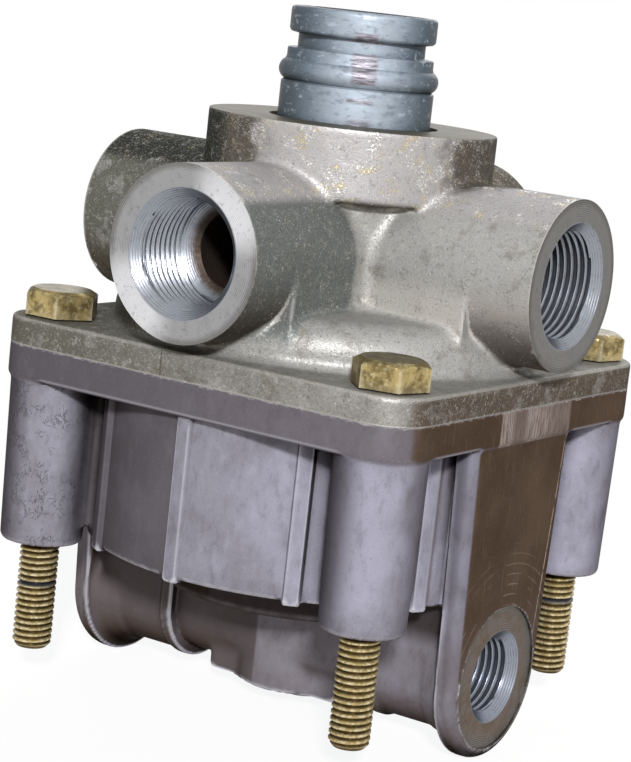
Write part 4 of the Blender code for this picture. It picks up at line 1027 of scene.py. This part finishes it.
plated = yellow_zinc()
for name, sign_x, sign_y, turned in (("front", 1, -1, 15), ("left", -1, -1, 2), ("right", 1, 1, 20),
                                     ("rear", -1, 1, 10)):
    shank = screw("bolt_shank", 1.25, BOLT_END, HEAD_LOW + 0.2, bolt_side, 40, 8)
    bm = hexagon_head(turned)
    bm.from_mesh(shank.data)
    bpy.data.objects.remove(shank, do_unlink=True)
    bolt = keep("hex_bolt_" + name, bm)
    stand(bolt, sign_x * BOLT_PLACE, sign_y * BOLT_PLACE)
    smooth(bolt, 25)
    bolt.data.materials.append(plated)
    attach(bolt, "housing")
    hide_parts("bolt_" + name)

# ---------------------------------------------------------------------------------------------
# The stage: a pale floor under the lugs, a white surround, a hard lamp close by the camera as in
# the photograph, a weak soft one behind, and the camera at the photograph's place.


def seen_white(place):
    """1 for the rays that show the background, 0 for the light that it sheds."""
    rays = [place.node("LightPath", {}, output=name)
            for name in ("Is Camera Ray", "Is Glossy Ray", "Is Transmission Ray")]
    most = place.math("MAXIMUM", rays[0], rays[1])
    return place.math("MAXIMUM", most, rays[2])


floor_mesh = bpy.data.meshes.new("floor")
corners = [(-40, -40, -0.0704), (40, -40, -0.0704), (40, 40, -0.0704), (-40, 40, -0.0704)]
floor_mesh.from_pydata(corners, [], [(0, 1, 2, 3)])
floor = put("floor", floor_mesh)
pale = bpy.data.materials.new("pale_floor")
pale.use_nodes = True
nodes = pale.node_tree.nodes
board = nodes["Principled BSDF"]
board.inputs["Roughness"].default_value = 0.9
board.inputs["Specular IOR Level"].default_value = 0.0
start = Wire(nodes.new("ShaderNodeTexCoord").outputs["Object"])
fibre = start.node("TexNoise", {"Vector": start, "Scale": 60.0, "Detail": 4.0})
feed(board, Base_Color=tint(fibre, paint(172, 162, 154), paint(178, 168, 160)))
glow = start.node("Emission", {"Color": (0.985, 0.993, 1, 1), "Strength": 1.4})
both = start.node("MixShader", {0: 0.65 * seen_white(start), 1: Wire(board.outputs[0]), 2: glow})
pale.node_tree.links.new(both.socket, nodes["Material Output"].inputs["Surface"])
floor.data.materials.append(pale)

world = bpy.data.worlds.new("white surround")
bpy.context.scene.world = world
world.use_nodes = True
nodes = world.node_tree.nodes
ambient = nodes["Background"]
ambient.inputs["Color"].default_value = (0.95, 0.96, 1, 1)
ambient.inputs["Strength"].default_value = 0.13
around = Wire(ambient.outputs[0])
white = around.node("Background", {"Color": (1, 1, 1, 1), "Strength": 1.0})
both = around.node("MixShader", {0: seen_white(around), 1: around, 2: white})
world.node_tree.links.new(both.socket, nodes["World Output"].inputs["Surface"])

def toward(azimuth, elevation):
    """The direction of a lamp or camera, its azimuth in degrees from -Y towards +X."""
    azimuth, elevation = math.radians(azimuth), math.radians(elevation)
    level = math.cos(elevation)
    return Vector((math.sin(azimuth) * level, -math.cos(azimuth) * level, math.sin(elevation)))


for name, direction, height, energy, spread in (("key lamp", 34.5, 25, 3.6, 6),
                                                ("back lamp", 205, 30, 1.2, 50)):
    lamp_data = bpy.data.lights.new(name, "SUN")
    lamp_data.angle = math.radians(spread)
    lamp_data.energy = energy
    lamp_data.color = (0.97, 0.97, 1.0)
    lamp = put(name, lamp_data)
    aim = toward(direction, height)
    lamp.location = aim * 0.8
    lamp.rotation_euler = aim.to_track_quat("Z", "Y").to_euler()

CAMERA_PLACE = (0.251514, -0.393328, 0.076108)
FOCAL_PIXELS = 2344.37
PICTURE_HEIGHT = 762
back = toward(32.825, 9.725)
roll = math.radians(6.281)
level = Vector((0, 0, 1)).cross(back).normalized()
upright = back.cross(level)
right = math.cos(roll) * level + math.sin(roll) * upright
up = math.cos(roll) * upright - math.sin(roll) * level
camera_data = bpy.data.cameras.new("camera")
camera_data.lens = FOCAL_PIXELS * camera_data.sensor_width / PICTURE_HEIGHT
camera = put("camera", camera_data)
facing_picture = Matrix((right, up, back)).transposed().to_4x4()
camera.matrix_world = Matrix.Translation(CAMERA_PLACE) @ facing_picture
bpy.context.scene.camera = camera
bpy.context.scene.view_settings.view_transform = "Standard"
